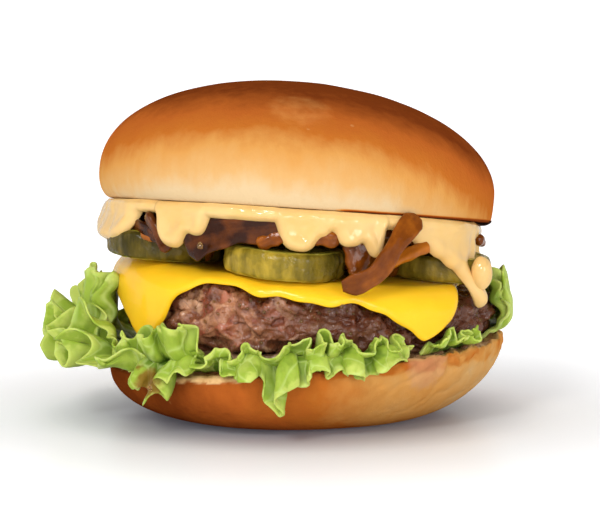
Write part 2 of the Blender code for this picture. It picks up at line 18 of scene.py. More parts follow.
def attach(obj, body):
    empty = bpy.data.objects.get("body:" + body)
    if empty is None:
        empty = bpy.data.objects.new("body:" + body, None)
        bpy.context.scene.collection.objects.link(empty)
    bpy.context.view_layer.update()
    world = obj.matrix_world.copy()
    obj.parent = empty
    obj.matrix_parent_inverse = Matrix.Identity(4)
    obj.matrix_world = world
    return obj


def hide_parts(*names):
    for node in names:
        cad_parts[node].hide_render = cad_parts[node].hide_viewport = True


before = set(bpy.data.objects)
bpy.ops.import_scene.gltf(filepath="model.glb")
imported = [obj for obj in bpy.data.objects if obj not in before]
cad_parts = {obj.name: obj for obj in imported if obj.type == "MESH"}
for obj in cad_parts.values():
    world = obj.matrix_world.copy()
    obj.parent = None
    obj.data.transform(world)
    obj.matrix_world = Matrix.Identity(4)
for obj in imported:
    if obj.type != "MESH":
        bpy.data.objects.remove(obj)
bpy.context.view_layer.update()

bl_info = {
    "name": "Cheeseburger",
    "version": (1, 0, 0),
    "blender": (4, 5, 0),
    "location": "View3D > Sidebar > Burger",
    "description": "Builds a cheeseburger layer by layer round its solids",
    "category": "Add Mesh",
}

MM = 0.001


def srgb(red, green, blue):
    """The linear colour of an everyday one from 0 to 255."""
    shares = [value / 255 for value in (red, green, blue)]
    return tuple(c / 12.92 if c <= 0.04045 else ((c + 0.055) / 1.055) ** 2.4 for c in shares)


def length(name, text, millimetres):
    return FloatProperty(name=name, description=text, default=millimetres * MM, unit="LENGTH", precision=4)


def share(name, text, value):
    return FloatProperty(name=name, description=text, default=value, subtype="FACTOR", min=0.0, max=2.0)


def turn(name, text, degrees):
    return FloatProperty(name=name, description=text, default=float(radians(degrees)), unit="ROTATION")


def colour(name, text, *value):
    look = {"subtype": "COLOR", "min": 0.0, "max": 1.0}
    return FloatVectorProperty(name=name, description=text, default=srgb(*value), **look)


def number(name, text, value, unit="NONE"):
    return FloatProperty(name=name, description=text, default=value, unit=unit)


# Settings


class BunSettings(bpy.types.PropertyGroup):
    radius: length("Radius", "Radius of the upper half", 55.2)
    height: length("Height", "Height of the upper half over its cut", 36.0)
    widest: length("Widest height", "Where the upper half is widest", 7.3)
    lift: length("Cut height", "Height of the upper half's cut over the table", 56.5)
    lean_back: turn("Lean back", "How far the upper half leans back", -5.4)
    lean_right: turn("Lean right", "How far the upper half leans to the right", 3.8)
    heel_radius: length("Lower radius", "Radius of the lower half", 55.5)
    burnt: colour("Burnt", "Crust where it is darkest", 122, 56, 20)
    brown: colour("Brown", "Well baked crust", 180, 94, 36)
    tan: colour("Tan", "Crust between golden and brown", 184, 104, 38)
    golden: colour("Golden", "Lightly baked crust", 203, 144, 75)
    cream: colour("Cream", "Crust with a first touch of colour", 205, 159, 100)
    pale: colour("Pale", "Crust that the oven hardly reached", 205, 178, 137)
    crumb: colour("Crumb", "Cut face", 226, 184, 128)


class FillingSettings(bpy.types.PropertyGroup):
    crag: length("Crag depth", "Depth of the crags in the meat", 3.0)
    cheese: length("Cheese thickness", "Thickness of the melted slice", 3.0)
    sauce: length("Sauce thickness", "Thickness of the hanging sauce", 2.4)
    meat: colour("Meat", "Fried minced beef", 176, 118, 84)
    seared: colour("Seared meat", "Meat where the pan browned it", 88, 42, 22)
    pink: colour("Pink meat", "Meat that is still rosy", 184, 92, 68)
    cheddar: colour("Cheese", "Melted cheese", 249, 197, 36)
    skin: colour("Pickle skin", "Skin of the pickle slices", 112, 94, 26)
    flesh: colour("Pickle flesh", "Flesh of the pickle slices", 172, 156, 58)
    onion: colour("Onion", "Fried onion where it is thin", 120, 60, 12)
    burnt_onion: colour("Dark onion", "Fried onion where it is thick", 46, 18, 4)
    cream: colour("Sauce", "Burger sauce", 228, 190, 126)


class LettuceSettings(bpy.types.PropertyGroup):
    thickness: length("Thickness", "Thickness of a leaf", 0.75)
    frill: share("Frill", "How much the small frills are ruffled", 1.0)
    young: colour("Young", "Frilly rim of a leaf", 188, 202, 96)
    leaf: colour("Leaf", "Leaf between rim and rib", 154, 178, 62)
    deep: colour("Deep", "Leaf where it is folded and dark", 78, 108, 26)


class StageSettings(bpy.types.PropertyGroup):
    distance: length("Camera distance", "From the camera to the burger", 750.0)
    elevation: turn("Camera elevation", "How far the camera looks down", 6.0)
    lens: number("Lens", "Focal length on a 36 mm sensor", 160.7, "CAMERA")
    aim: length("Aim height", "Height that the camera looks at", 40.8)
    floor: colour("Floor", "Table and backdrop", 250, 250, 249)
    key: number("Key light", "Power of the main soft light", 3.1, "POWER")
    fill: number("Fill light", "Power of the light from the right", 1.7, "POWER")
    sky: number("Studio light", "Strength of the light from all round", 0.5)
    seed: IntProperty(name="Seed", description="Start of all random draws", default=5)


def settings(group):
    return getattr(bpy.context.scene, "burger_" + group)


# Small sums


def blend(a, b, t):
    return a + (b - a) * t


def ease(edge0, edge1, x):
    """A smooth step from 0 to 1 between two edges."""
    t = np.clip((x - edge0) / (edge1 - edge0), 0.0, 1.0)
    return t * t * (3.0 - 2.0 * t)


def power(x, exponent):
    return np.sign(x) * np.abs(x) ** exponent


def wobble(points, size, seed=0.0, depth=2):
    """Smooth noise of about -1 to 1 at every point, with lumps of a size."""
    flat = np.asarray(points, float).reshape(-1, 3) / size + np.array((seed * 7.3, seed * 3.1, seed * 5.7))
    values = [noise.fractal(Vector(p), 1.0, 2.0, depth) for p in flat]
    return np.array(values).reshape(np.asarray(points).shape[:-1])


def hump(x, middle, width):
    return np.exp(-(((x - middle) / width) ** 2))


def circle(count):
    return np.linspace(0.0, 2 * pi, count, endpoint=False)


def stack(*parts):
    """Coordinates x, y, z as one array of points."""
    return np.stack(np.broadcast_arrays(*parts), axis=-1)


# Meshes


def solid(name, points, faces, tidy=False):
    """A mesh from points in millimetres."""
    mesh = bpy.data.meshes.new(name)
    mesh.from_pydata((np.asarray(points, float) * MM).tolist(), [], faces)
    if tidy:
        bm = bmesh.new()
        bm.from_mesh(mesh)
        bmesh.ops.recalc_face_normals(bm, faces=bm.faces)
        bm.to_mesh(mesh)
        bm.free()
    mesh.shade_smooth()
    return mesh


def wrapped(name, rows, tidy=False):
    """A closed skin of rows that run round, from below to above. Both ends are drawn to a point."""
    rows = np.asarray(rows, float)
    count, around = rows.shape[:2]
    points = np.vstack([rows[0].mean(0)[None], rows.reshape(-1, 3), rows[-1].mean(0)[None]])
    here = np.arange(around)
    after = (here + 1) % around
    faces = []
    for low in 1 + around * np.arange(count - 1):
        high = low + around
        faces += np.stack([low + here, low + after, high + after, high + here], axis=1).tolist()
    top = 1 + around * (count - 1)
    faces += [(0, 1 + b, 1 + a) for a, b in zip(here.tolist(), after.tolist())]
    faces += [(top + a, top + b, len(points) - 1) for a, b in zip(here.tolist(), after.tolist())]
    return solid(name, points, faces, tidy)


def sheet(rows, columns):
    """The quads of a grid of points, and the points along its border."""
    first = columns * np.arange(rows - 1)[:, None] + np.arange(columns - 1)
    quads = np.stack([first, first + 1, first + columns + 1, first + columns], axis=-1).reshape(-1, 4)
    border = list(range(columns)) + [j * columns + columns - 1 for j in range(1, rows)]
    border += [rows * columns - 1 - i for i in range(1, columns)]
    border += [j * columns for j in range(rows - 2, 0, -1)]
    return quads, border


def spots_of(mesh):
    """The points of a mesh in millimetres."""
    spots = np.empty(len(mesh.vertices) * 3)
    mesh.vertices.foreach_get("co", spots)
    return spots.reshape(-1, 3) / MM


def low_rim_high(low, rim, high):
    """The rows of a flat cake: its underside outwards, its rim upwards and its top inwards."""
    plan = [("low", value) for value in np.linspace(*low)]
    plan += [("rim", value) for value in np.linspace(0.0, 1.0, rim)]
    return plan + [("high", value) for value in np.linspace(*high)]


def on_rows(values):
    """Values of rows as wrapped() orders its points."""
    values = np.asarray(values, float)
    return np.concatenate([[values[0].mean()], values.ravel(), [values[-1].mean()]])


def paint(mesh, name, values):
    """Keeps a number for every point, for its material."""
    old = mesh.attributes.get(name)
    if old:
        mesh.attributes.remove(old)
    values = np.broadcast_to(np.asarray(values, np.float32).ravel(), len(mesh.vertices)).copy()
    mesh.attributes.new(name, "FLOAT", "POINT").data.foreach_set("value", values)


def joined(name, meshes):
    """One mesh of several, with their attributes."""
    bm = bmesh.new()
    for mesh in meshes:
        bm.from_mesh(mesh)
    made = bpy.data.meshes.new(name)
    bm.to_mesh(made)
    bm.free()
    made.shade_smooth()
    return made


def coat_both(mesh, crust, crumb, is_crumb):
    """Puts crust on a mesh, and crumb on the faces that are marked."""
    mesh.materials.clear()
    mesh.materials.append(crust)
    mesh.materials.append(crumb)
    mesh.polygons.foreach_set("material_index", [int(mark) for mark in is_crumb])


def serve(mesh, name, materials, nodes=()):
    """Puts a finished piece on the burger."""
    piece = bpy.data.objects.new(name, mesh)
    bpy.context.scene.collection.objects.link(piece)
    if not mesh.materials:
        for mat in materials:
            mesh.materials.append(mat)
    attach(piece, "root")
    if nodes:
        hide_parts(*nodes)
    return piece


# Node trees


def node(tree, kind, inputs=None, **values):
    """A node with its settings, and its inputs as numbers or as links."""
    made = tree.nodes.new(kind)
    for key, value in values.items():
        setattr(made, key, value)
    for key, value in (inputs or {}).items():
        if isinstance(value, bpy.types.NodeSocket):
            tree.links.new(value, made.inputs[key])
        else:
            made.inputs[key].default_value = value
    return made


def tree_of(values):
    """The node tree that holds the first socket among some values."""
    return next(value.id_data for value in values if isinstance(value, bpy.types.NodeSocket))


def sum_of(operation, *values):
    return node(tree_of(values), "ShaderNodeMath", dict(enumerate(values)), operation=operation).outputs[0]


def plus(a, b):
    return sum_of("ADD", a, b)


def minus(a, b):
    return sum_of("SUBTRACT", a, b)


def times(a, b):
    return sum_of("MULTIPLY", a, b)


def divided(a, b):
    return sum_of("DIVIDE", a, b)


def shifted(value, patches, amount):
    """A value moved up and down by patches that run from 0 to 1."""
    return plus(value, times(minus(patches, 0.5), amount))


def vector_sum(operation, *values):
    inputs = dict(enumerate(values))
    if operation == "SCALE":
        inputs["Scale"] = inputs.pop(1)
    made = node(tree_of(values), "ShaderNodeVectorMath", inputs, operation=operation)
    return made.outputs["Value" if operation in ("LENGTH", "DISTANCE") else "Vector"]


def mapped(value, low, high, to_low=0.0, to_high=1.0, kind="SMOOTHSTEP"):
    """A value brought from one range to another."""
    inputs = {0: value, 1: low, 2: high, 3: to_low, 4: to_high}
    return node(value.id_data, "ShaderNodeMapRange", inputs, interpolation_type=kind).outputs[0]


def mixed(factor, a, b):
    """Two colours mixed."""
    a, b = (c if isinstance(c, bpy.types.NodeSocket) else (*c, 1.0) for c in (a, b))
    tree = tree_of((factor, a, b))
    return node(tree, "ShaderNodeMix", {0: factor, 6: a, 7: b}, data_type="RGBA").outputs[2]


def ramp(factor, stops):
    """A colour ramp from (place, colour) stops."""
    made = node(factor.id_data, "ShaderNodeValToRGB", {0: factor})
    steps = made.color_ramp.elements
    while len(steps) < len(stops):
        steps.new(0.5)
    for step, (place, value) in zip(steps, stops):
        step.position = place
        step.color = (*value, 1.0)
    return made.outputs[0]


def clouds(place, scale, detail):
    """Soft noise."""
    inputs = {"Vector": place, "Scale": scale, "Detail": detail}
    return node(place.id_data, "ShaderNodeTexNoise", inputs).outputs


def cells(place, scale, feature="F1"):
    """Round or crazed cells."""
    return node(place.id_data, "ShaderNodeTexVoronoi", {"Vector": place, "Scale": scale}, feature=feature)


def new_tree(name, kind, inputs, outputs):
    """A node tree with named inputs, each a socket kind and a default, and named outputs."""
    tree = bpy.data.node_groups.new(name, kind)
    for label, (socket, value) in inputs.items():
        made = tree.interface.new_socket(name=label, in_out="INPUT", socket_type="NodeSocket" + socket)
        if value is not None:
            made.default_value = value
    for label, socket in outputs.items():
        tree.interface.new_socket(name=label, in_out="OUTPUT", socket_type="NodeSocket" + socket)
    return tree, tree.nodes.new("NodeGroupInput").outputs, tree.nodes.new("NodeGroupOutput").inputs


def grown(mesh, tree, values):
    """The plain mesh that a geometry tree makes of a mesh."""
    carrier = bpy.data.objects.new("carrier", mesh)
    bpy.context.scene.collection.objects.link(carrier)
    modifier = carrier.modifiers.new(tree.name, "NODES")
    modifier.node_group = tree
    for socket in tree.interface.items_tree:
        if socket.item_type == "SOCKET" and socket.in_out == "INPUT" and socket.name in values:
            modifier[socket.identifier] = values[socket.name]
    graph = bpy.context.evaluated_depsgraph_get()
    made = bpy.data.meshes.new_from_object(carrier.evaluated_get(graph))
    bpy.data.objects.remove(carrier)
    return made


def finish_tree(tree, geometry, given, result):
    """Ends a geometry tree: plain geometry with its material."""
    whole = node(tree, "GeometryNodeRealizeInstances", {"Geometry": geometry}).outputs[0]
    coated = {"Geometry": whole, "Material": given["Material"]}
    tree.links.new(node(tree, "GeometryNodeSetMaterial", coated).outputs[0], result["Geometry"])
    return tree


# Geometry trees, each built once

BUILT = {}


def once(build):
    """A tree or material that is built the first time it is asked for."""
    if build not in BUILT:
        BUILT[build] = build()
    return BUILT[build]


def relief_tree():
    """Pushes a surface in and out: soft lumps, rounded grains with creases between them, and pits."""
    sizes = {"Geometry": ("Geometry", None), "Stretch": ("Vector", (1.0, 1.0, 1.0)), "Warp": ("Float", 0.6)}
    for part, size in (("Lump", 8.0), ("Grain", 3.0), ("Pit", 4.0)):
        sizes[part + " Size"] = ("Float", size * MM)
        sizes[part + " Depth"] = ("Float", 0.0)
    sizes["Seed"] = ("Float", 0.0)
    sizes["Level Name"] = ("String", "level")
    sizes["Material"] = ("Material", None)
    tree, given, result = new_tree("Relief", "GeometryNodeTree", sizes, {"Geometry": "Geometry"})
    place = node(tree, "GeometryNodeInputPosition").outputs[0]
    place = vector_sum("MULTIPLY", place, given["Stretch"])
    place = vector_sum("ADD", place, vector_sum("SCALE", (0.37, 0.71, 0.53), given["Seed"]))
    lump_scale = divided(1.0, given["Lump Size"])
    lumps = clouds(place, lump_scale, 2.0)
    push = vector_sum("SUBTRACT", lumps["Color"], (0.5, 0.5, 0.5))
    push = vector_sum("SCALE", push, times(given["Lump Size"], given["Warp"]))
    warped = vector_sum("ADD", place, push)
    scale = divided(1.0, given["Grain Size"])
    grains = cells(warped, scale, "SMOOTH_F1")
    grains.inputs["Smoothness"].default_value = 0.35
    scale = divided(1.0, given["Pit Size"])
    pits = clouds(warped, scale, 1.0)
    pit = mapped(pits[0], 0.56, 0.74)
    lump = times(minus(lumps[0], 0.5), 2.0)
    grain = minus(0.5, grains.outputs["Distance"])
    height = times(lump, given["Lump Depth"])
    height = plus(height, times(grain, given["Grain Depth"]))
    height = minus(height, times(pit, given["Pit Depth"]))
    share = node(tree, "GeometryNodeInputNamedAttribute", {"Name": "relief"}, data_type="FLOAT").outputs[0]
    height = times(height, share)
    total = plus(given["Lump Depth"], plus(given["Grain Depth"], given["Pit Depth"]))
    level = divided(height, sum_of("MAXIMUM", total, 1e-6))
    offset = vector_sum("SCALE", node(tree, "GeometryNodeInputNormal").outputs[0], height)
    stored = {"Geometry": given["Geometry"], "Name": given["Level Name"], "Value": level}
    stored = node(tree, "GeometryNodeStoreNamedAttribute", stored)
    moved = node(tree, "GeometryNodeSetPosition", {"Geometry": stored.outputs[0], "Offset": offset})
    return finish_tree(tree, moved.outputs[0], given, result)


def relief(mesh, mat, lump, grain, pit, stretch=(1, 1, 1), warp=0.6, seed=0.0, part_of=1.0, level="level"):
    """A mesh with relief, sizes and depths in millimetres. part_of says how much of it each point takes."""
    paint(mesh, "relief", part_of)
    values = {"Stretch": stretch, "Warp": warp, "Seed": seed, "Material": mat, "Level Name": level}
    for part, (size, depth) in (("Lump", lump), ("Grain", grain), ("Pit", pit)):
        values[part + " Size"] = size * MM
        values[part + " Depth"] = depth * MM
    return grown(mesh, once(relief_tree), values)


def scatter_tree():
    """Strews small rounded bits on a surface, half sunk in it, where the surface is marked for them."""
    inputs = {"Geometry": ("Geometry", None), "Density": ("Float", 1e4), "Spacing": ("Float", 1.0 * MM)}
    inputs |= {"Smallest": ("Float", 0.3 * MM), "Largest": ("Float", 0.9 * MM), "Flatness": ("Float", 0.6)}
    inputs |= {"Seed": ("Int", 0), "Material": ("Material", None)}
    tree, given, result = new_tree("Strewn bits", "GeometryNodeTree", inputs, {"Geometry": "Geometry"})
    where = node(tree, "GeometryNodeInputNamedAttribute", {"Name": "strewn"}, data_type="FLOAT").outputs[0]
    spread = {"Mesh": given["Geometry"], "Distance Min": given["Spacing"], "Density Max": given["Density"]}
    spread |= {"Density Factor": where, "Seed": given["Seed"]}
    points = node(tree, "GeometryNodeDistributePointsOnFaces", spread, distribute_method="POISSON")
    bit = node(tree, "GeometryNodeMeshIcoSphere", {"Radius": 1.0, "Subdivisions": 2})
    size = node(tree, "FunctionNodeRandomValue", {"Seed": given["Seed"]}, data_type="FLOAT")
    tree.links.new(given["Smallest"], size.inputs[2])
    tree.links.new(given["Largest"], size.inputs[3])
    flat = times(size.outputs[1], given["Flatness"])
    scale = node(tree, "ShaderNodeCombineXYZ", {0: size.outputs[1], 1: size.outputs[1], 2: flat})
    laid = {"Points": points.outputs[0], "Instance": bit.outputs[0], "Rotation": points.outputs["Rotation"]}
    laid["Scale"] = scale.outputs[0]
    bits = node(tree, "GeometryNodeInstanceOnPoints", laid)
    whole = node(tree, "GeometryNodeRealizeInstances", {"Geometry": bits.outputs[0]})
    smooth = node(tree, "GeometryNodeSetShadeSmooth", {0: whole.outputs[0]})
    return finish_tree(tree, smooth.outputs[0], given, result)


def strewn(mesh, mat, where, density, smallest, largest, flatness=0.6, spacing=1.0, seed=1):
    """Bits on a mesh, where a number from 0 to 1 for each point says how many."""
    ground = mesh.copy()
    paint(ground, "strewn", where)
    values = {"Density": float(density), "Spacing": spacing * MM, "Smallest": smallest * MM}
    values |= {"Largest": largest * MM, "Flatness": flatness, "Seed": seed, "Material": mat}
    return grown(ground, once(scatter_tree), values)


def dome_tree():
    """The upper half of the bun: a superellipse dome on a tucked-in lower edge with a flat cut, leaning."""
    sizes = ("Radius", "Height", "Widest", "Foot", "Roundness", "Unevenness")
    inputs = {label: ("Float", 0.0) for label in sizes}
    inputs |= {"Columns": ("Int", 64), "Rows": ("Int", 32), "Lean": ("Vector", (0.0, 0.0, 0.0))}
    inputs |= {"Place": ("Vector", (0.0, 0.0, 0.0)), "Material": ("Material", None)}
    tree, given, result = new_tree("Bun dome", "GeometryNodeTree", inputs, {"Geometry": "Geometry"})
    cut_slope = radians(30.0)
    ball = node(tree, "GeometryNodeMeshUVSphere", {0: given["Columns"], 1: given["Rows"], 2: 1.0})
    place = node(tree, "GeometryNodeInputPosition").outputs[0]
    x, y, z = node(tree, "ShaderNodeSeparateXYZ", {0: place}).outputs
    reach = sum_of("MAXIMUM", sum_of("SQRT", minus(1.0, times(z, z))), 1e-5)
    angle = sum_of("ARCTAN2", y, x)
    side = sum_of("COSINE", angle)
    uneven = sum_of("SINE", plus(times(angle, 3.0), 1.1))
    uneven = plus(1.0, times(uneven, given["Unevenness"]))
    radius = times(given["Radius"], uneven)
    bulge = divided(2.0, plus(given["Roundness"], times(side, -0.12)))
    foot = plus(given["Foot"], times(side, 0.03))
    up = sum_of("MAXIMUM", z, 0.0)
    dome_r = times(radius, sum_of("POWER", reach, bulge))
    rise = minus(given["Height"], given["Widest"])
    dome_z = plus(given["Widest"], times(rise, sum_of("POWER", up, bulge)))
    below = divided(sum_of("ARCSINE", times(z, -1.0)), cut_slope)
    below = node(tree, "ShaderNodeClamp", {0: below}).outputs[0]
    swing = times(minus(1.0, below), pi / 2)
    tucked = times(minus(1.0, foot), sum_of("SINE", swing))
    tuck_r = times(radius, plus(foot, tucked))
    tuck_z = times(given["Widest"], minus(1.0, sum_of("COSINE", swing)))
    inside = sum_of("MINIMUM", divided(reach, cos(cut_slope)), 1.0)
    tuck_r = times(tuck_r, inside)
    low = sum_of("LESS_THAN", z, 0.0)
    r = node(tree, "ShaderNodeMix", {0: low, 2: dome_r, 3: tuck_r}).outputs[0]
    h = node(tree, "ShaderNodeMix", {0: low, 2: dome_z, 3: tuck_z}).outputs[0]
    across = times(r, side)
    along = times(r, sum_of("SINE", angle))
    spot = node(tree, "ShaderNodeCombineXYZ", {0: across, 1: along, 2: h}).outputs[0]
    shaped = node(tree, "GeometryNodeSetPosition", {"Geometry": ball.outputs[0], "Position": spot})
    leant = {"Geometry": shaped.outputs[0], "Translation": given["Place"], "Rotation": given["Lean"]}
    leant = node(tree, "GeometryNodeTransform", leant)
    return finish_tree(tree, leant.outputs[0], given, result)


# Shader groups, each built once


def mottle_group():
    """Soft patches of a size, from 0 to 1, with a contrast."""
    inputs = {"Vector": ("Vector", (0.0, 0.0, 0.0)), "Stretch": ("Vector", (1.0, 1.0, 1.0))}
    inputs |= {"Size": ("Float", 10 * MM), "Contrast": ("Float", 1.0), "Seed": ("Float", 0.0)}
    tree, given, result = new_tree("Mottle", "ShaderNodeTree", inputs, {"Patches": "Float"})
    place = vector_sum("MULTIPLY", given["Vector"], given["Stretch"])
    place = vector_sum("ADD", place, vector_sum("SCALE", (0.31, 0.17, 0.23), given["Seed"]))
    scale = divided(1.0, given["Size"])
    patches = clouds(place, scale, 3.0)[0]
    spread = times(minus(patches, 0.5), times(given["Contrast"], 3.0))
    clamp = node(tree, "ShaderNodeClamp", {0: plus(spread, 0.5)})
    tree.links.new(clamp.outputs[0], result["Patches"])
    return tree


def stain_group():
    """A ragged stain round a point, from 0 to 1."""
    inputs = {"Vector": ("Vector", (0.0, 0.0, 0.0)), "Centre": ("Vector", (0.0, 0.0, 0.0))}
    inputs |= {"Radius": ("Float", 5 * MM), "Raggedness": ("Float", 0.5)}
    tree, given, result = new_tree("Stain", "ShaderNodeTree", inputs, {"Mask": "Float"})
    far = vector_sum("DISTANCE", given["Vector"], given["Centre"])
    far = divided(far, given["Radius"])
    ragged = clouds(given["Vector"], 400.0, 3.0)[0]
    ragged = times(minus(ragged, 0.5), given["Raggedness"])
    mask = mapped(plus(far, ragged), 0.6, 1.0, 1.0, 0.0)
    tree.links.new(mask, result["Mask"])
    return tree


def grain_group():
    """Height of fine relief: soft waves with small grains on them."""
    inputs = {"Vector": ("Vector", (0.0, 0.0, 0.0)), "Stretch": ("Vector", (1.0, 1.0, 1.0))}
    inputs |= {"Size": ("Float", 1 * MM), "Grain Share": ("Float", 0.5)}
    tree, given, result = new_tree("Fine grain", "ShaderNodeTree", inputs, {"Height": "Float"})
    place = vector_sum("MULTIPLY", given["Vector"], given["Stretch"])
    scale = divided(1.0, given["Size"])
    waves = clouds(place, scale, 4.0)[0]
    finer = times(scale, 2.7)
    grains = cells(place, finer).outputs[0]
    height = plus(waves, times(grains, given["Grain Share"]))
    tree.links.new(height, result["Height"])
    return tree


def effect(build, **values):
    """A shared group placed in a material with its own values."""
    tree = tree_of(values.values())
    inputs = {key.replace("_", " "): value for key, value in values.items()}
    return node(tree, "ShaderNodeGroup", inputs, node_tree=once(build)).outputs[0]


def mottle(place, size, contrast=1.0, stretch=(1, 1, 1), seed=0.0):
    size *= MM
    return effect(mottle_group, Vector=place, Size=size, Contrast=contrast, Stretch=stretch, Seed=seed)


def stain(place, centre, radius, raggedness=0.5):
    centre = [value * MM for value in centre]
    return effect(stain_group, Vector=place, Centre=centre, Radius=radius * MM, Raggedness=raggedness)


def new_material(name, roughness, **values):
    """A material with its plain numbers set: its tree, its shader and the place on the piece."""
    mat = bpy.data.materials.new(name)
    mat.use_nodes = True
    tree = mat.node_tree
    shader = tree.nodes["Principled BSDF"]
    shader.inputs["Roughness"].default_value = roughness
    for key, value in values.items():
        shader.inputs[key.replace("_", " ")].default_value = value
    return mat, tree, shader, node(tree, "ShaderNodeTexCoord").outputs["Object"]


def attribute(tree, name):
    return node(tree, "ShaderNodeAttribute", attribute_name=name).outputs["Fac"]


def set_colour(shader, value):
    value.id_data.links.new(value, shader.inputs["Base Color"])


def set_roughness(shader, value):
    value.id_data.links.new(value, shader.inputs["Roughness"])


def set_bump(shader, place, size, distance, grain_share=0.5, stretch=(1, 1, 1)):
    """Fine relief that is too small for the mesh."""
    height = effect(grain_group, Vector=place, Size=size * MM, Grain_Share=grain_share, Stretch=stretch)
    bump = {"Height": height, "Distance": distance * MM, "Strength": 1.0}
    bump = node(place.id_data, "ShaderNodeBump", bump).outputs[0]
    place.id_data.links.new(bump, shader.inputs["Normal"])


def set_glow(shader, weight, *radius):
    """Light that goes into a piece, this far in metres for red, green and blue, and out again."""
    shader.inputs["Subsurface Weight"].default_value = weight
    shader.inputs["Subsurface Radius"].default_value = radius


# Materials


def crust_material():
    """Baked crust: its colour follows how far each point is baked, with wisps, a few pale specks and a
    painted highlight near the top of the crown.
    """
    bun = settings("bun")
    mat, tree, shader, place = new_material("crust", 0.5, Specular_IOR_Level=0.0)
    bake = attribute(tree, "bake")
    wisps = mottle(place, 3.0, 0.9, (1.0, 1.0, 0.45), 2.0)
    clouds = mottle(place, 16.0, 0.8, seed=4.0)
    bake = shifted(bake, wisps, 0.05)
    bake = shifted(bake, clouds, 0.07)
    stages = (bun.pale, bun.cream, bun.golden, bun.tan, bun.brown, bun.burnt)
    base = ramp(bake, [(at, tuple(c)) for at, c in zip((0.14, 0.27, 0.43, 0.60, 0.76, 1.0), stages)])
    speck = cells(place, 130.0).outputs["Distance"]
    speck = mapped(speck, 0.05, 0.09, 1.0, 0.0)
    rare = mapped(mottle(place, 12.0, 1.0, seed=9.0), 0.75, 0.95)
    speck = times(times(speck, rare), 0.5)
    base = mixed(speck, base, tuple(bun.cream))
    # Painted highlight: a soft, mottled lighter patch near the top of the crown.
    light = times(stain(place, (1.6, -40.0, 87.9), 10.0, 0.4), 0.3)
    light = times(light, mottle(place, 4.0, 0.6, seed=8.0))
    base = mixed(light, base, srgb(226, 162, 90))
    soaked = times(stain(place, (35.6, -44.0, 18.6), 8.0, 0.8), 0.45)
    base = mixed(soaked, base, srgb(190, 146, 112))
    torn = mixed(mottle(place, 2.4, 1.3, seed=5.0), tuple(bun.crumb), srgb(196, 150, 96))
    set_colour(shader, mixed(attribute(tree, "bare"), base, torn))
    set_roughness(shader, mapped(bake, 0.1, 0.7, 0.6, 0.4))
    set_bump(shader, place, 1.6, 0.15, 0.35, (1.0, 1.0, 0.6))
    return mat


def crumb_material():
    """Cut bread, soaked with juice here and there, with painted shade in its pits."""
    bun = settings("bun")
    mat, tree, shader, place = new_material("crumb", 0.8)
    soaked = mottle(place, 9.0, 1.3, seed=3.0)
    level = attribute(tree, "level")
    base = mixed(soaked, tuple(bun.crumb), srgb(168, 104, 62))
    # Painted shade: the crumb is darker in the pits of the relief.
    base = mixed(mapped(level, -0.5, -0.1, 0.6, 0.0), base, srgb(110, 58, 28))
    set_colour(shader, base)
    set_roughness(shader, mapped(soaked, 0.4, 0.8, 0.85, 0.4))
    set_bump(shader, place, 0.9, 0.25, 0.8)
    return mat


def meat_material():
    """Fried minced beef: grains of many browns, some rosy, with painted shade in their crevices and between
    them, and wet with fat.
    """
    fill = settings("filling")
    mat, tree, shader, place = new_material("minced beef", 0.36, Specular_IOR_Level=0.65)
    level, fine, sear = attribute(tree, "level"), attribute(tree, "fine_level"), attribute(tree, "sear")
    lean, seared, pink = tuple(fill.meat), tuple(fill.seared), tuple(fill.pink)
    push = clouds(place, 330.0, 3.0)["Color"]
    push = vector_sum("SCALE", vector_sum("SUBTRACT", push, (0.5, 0.5, 0.5)), 0.0022)
    warped = vector_sum("ADD", place, push)
    grains = cells(warped, 300.0, "SMOOTH_F1")
    grains.inputs["Smoothness"].default_value = 0.25
    own, other, _ = node(tree, "ShaderNodeSeparateColor", {0: grains.outputs["Color"]}).outputs
    seams = cells(warped, 300.0, "DISTANCE_TO_EDGE").outputs[0]
    pale, fatty = srgb(190, 134, 98), srgb(206, 158, 120)
    base = ramp(own, [(0.1, srgb(142, 86, 58)), (0.45, lean), (0.75, pale), (0.95, fatty)])
    rosy = mapped(mottle(place, 10.0, 1.3, seed=6.0), 0.45, 0.85)
    base = mixed(times(rosy, mapped(other, 0.3, 0.8, 0.0, 0.55)), base, pink)
    # Painted shade between the grains.
    base = mixed(mapped(seams, 0.0, 0.08, 0.35, 0.0), base, srgb(104, 52, 32))
    # Painted shade: the patty darkens towards its right side.
    across, _, _ = node(tree, "ShaderNodeSeparateXYZ", {0: place}).outputs
    base = mixed(mapped(across, -0.02, 0.012, 0.0, 0.9), base, srgb(92, 48, 30))
    browned = times(sear, mottle(place, 6.0, 2.0, seed=3.0))
    base = mixed(browned, base, seared)
    # Painted shade in the crevices of the fine and the coarse relief.
    base = mixed(mapped(fine, -0.45, -0.05, 0.5, 0.0), base, srgb(104, 50, 30))
    base = mixed(mapped(level, -0.45, -0.08, 0.75, 0.0), base, srgb(84, 38, 22))
    set_colour(shader, base)
    set_roughness(shader, mapped(mottle(place, 2.5, 1.6, seed=5.0), 0.25, 0.75, 0.14, 0.42))
    set_bump(shader, place, 1.3, 0.2, 0.6)
    return mat


def cheese_material():
    """Melted cheese: smooth, glossy and slightly translucent."""
    mat, _, shader, place = new_material("melted cheese", 0.2, Specular_IOR_Level=0.25)
    set_glow(shader, 0.2, 0.004, 0.0022, 0.0004)
    cheddar = tuple(settings("filling").cheddar)
    base = mixed(mottle(place, 14.0, 0.8, seed=2.0), cheddar, srgb(244, 186, 28))
    drip = stain(place, (-37.0, -48.0, 26.5), 5.0, 0.6)
    base = mixed(times(drip, 0.6), base, srgb(150, 78, 18))
    set_colour(shader, base)
    set_bump(shader, place, 5.0, 0.10, 0.1)
    return mat


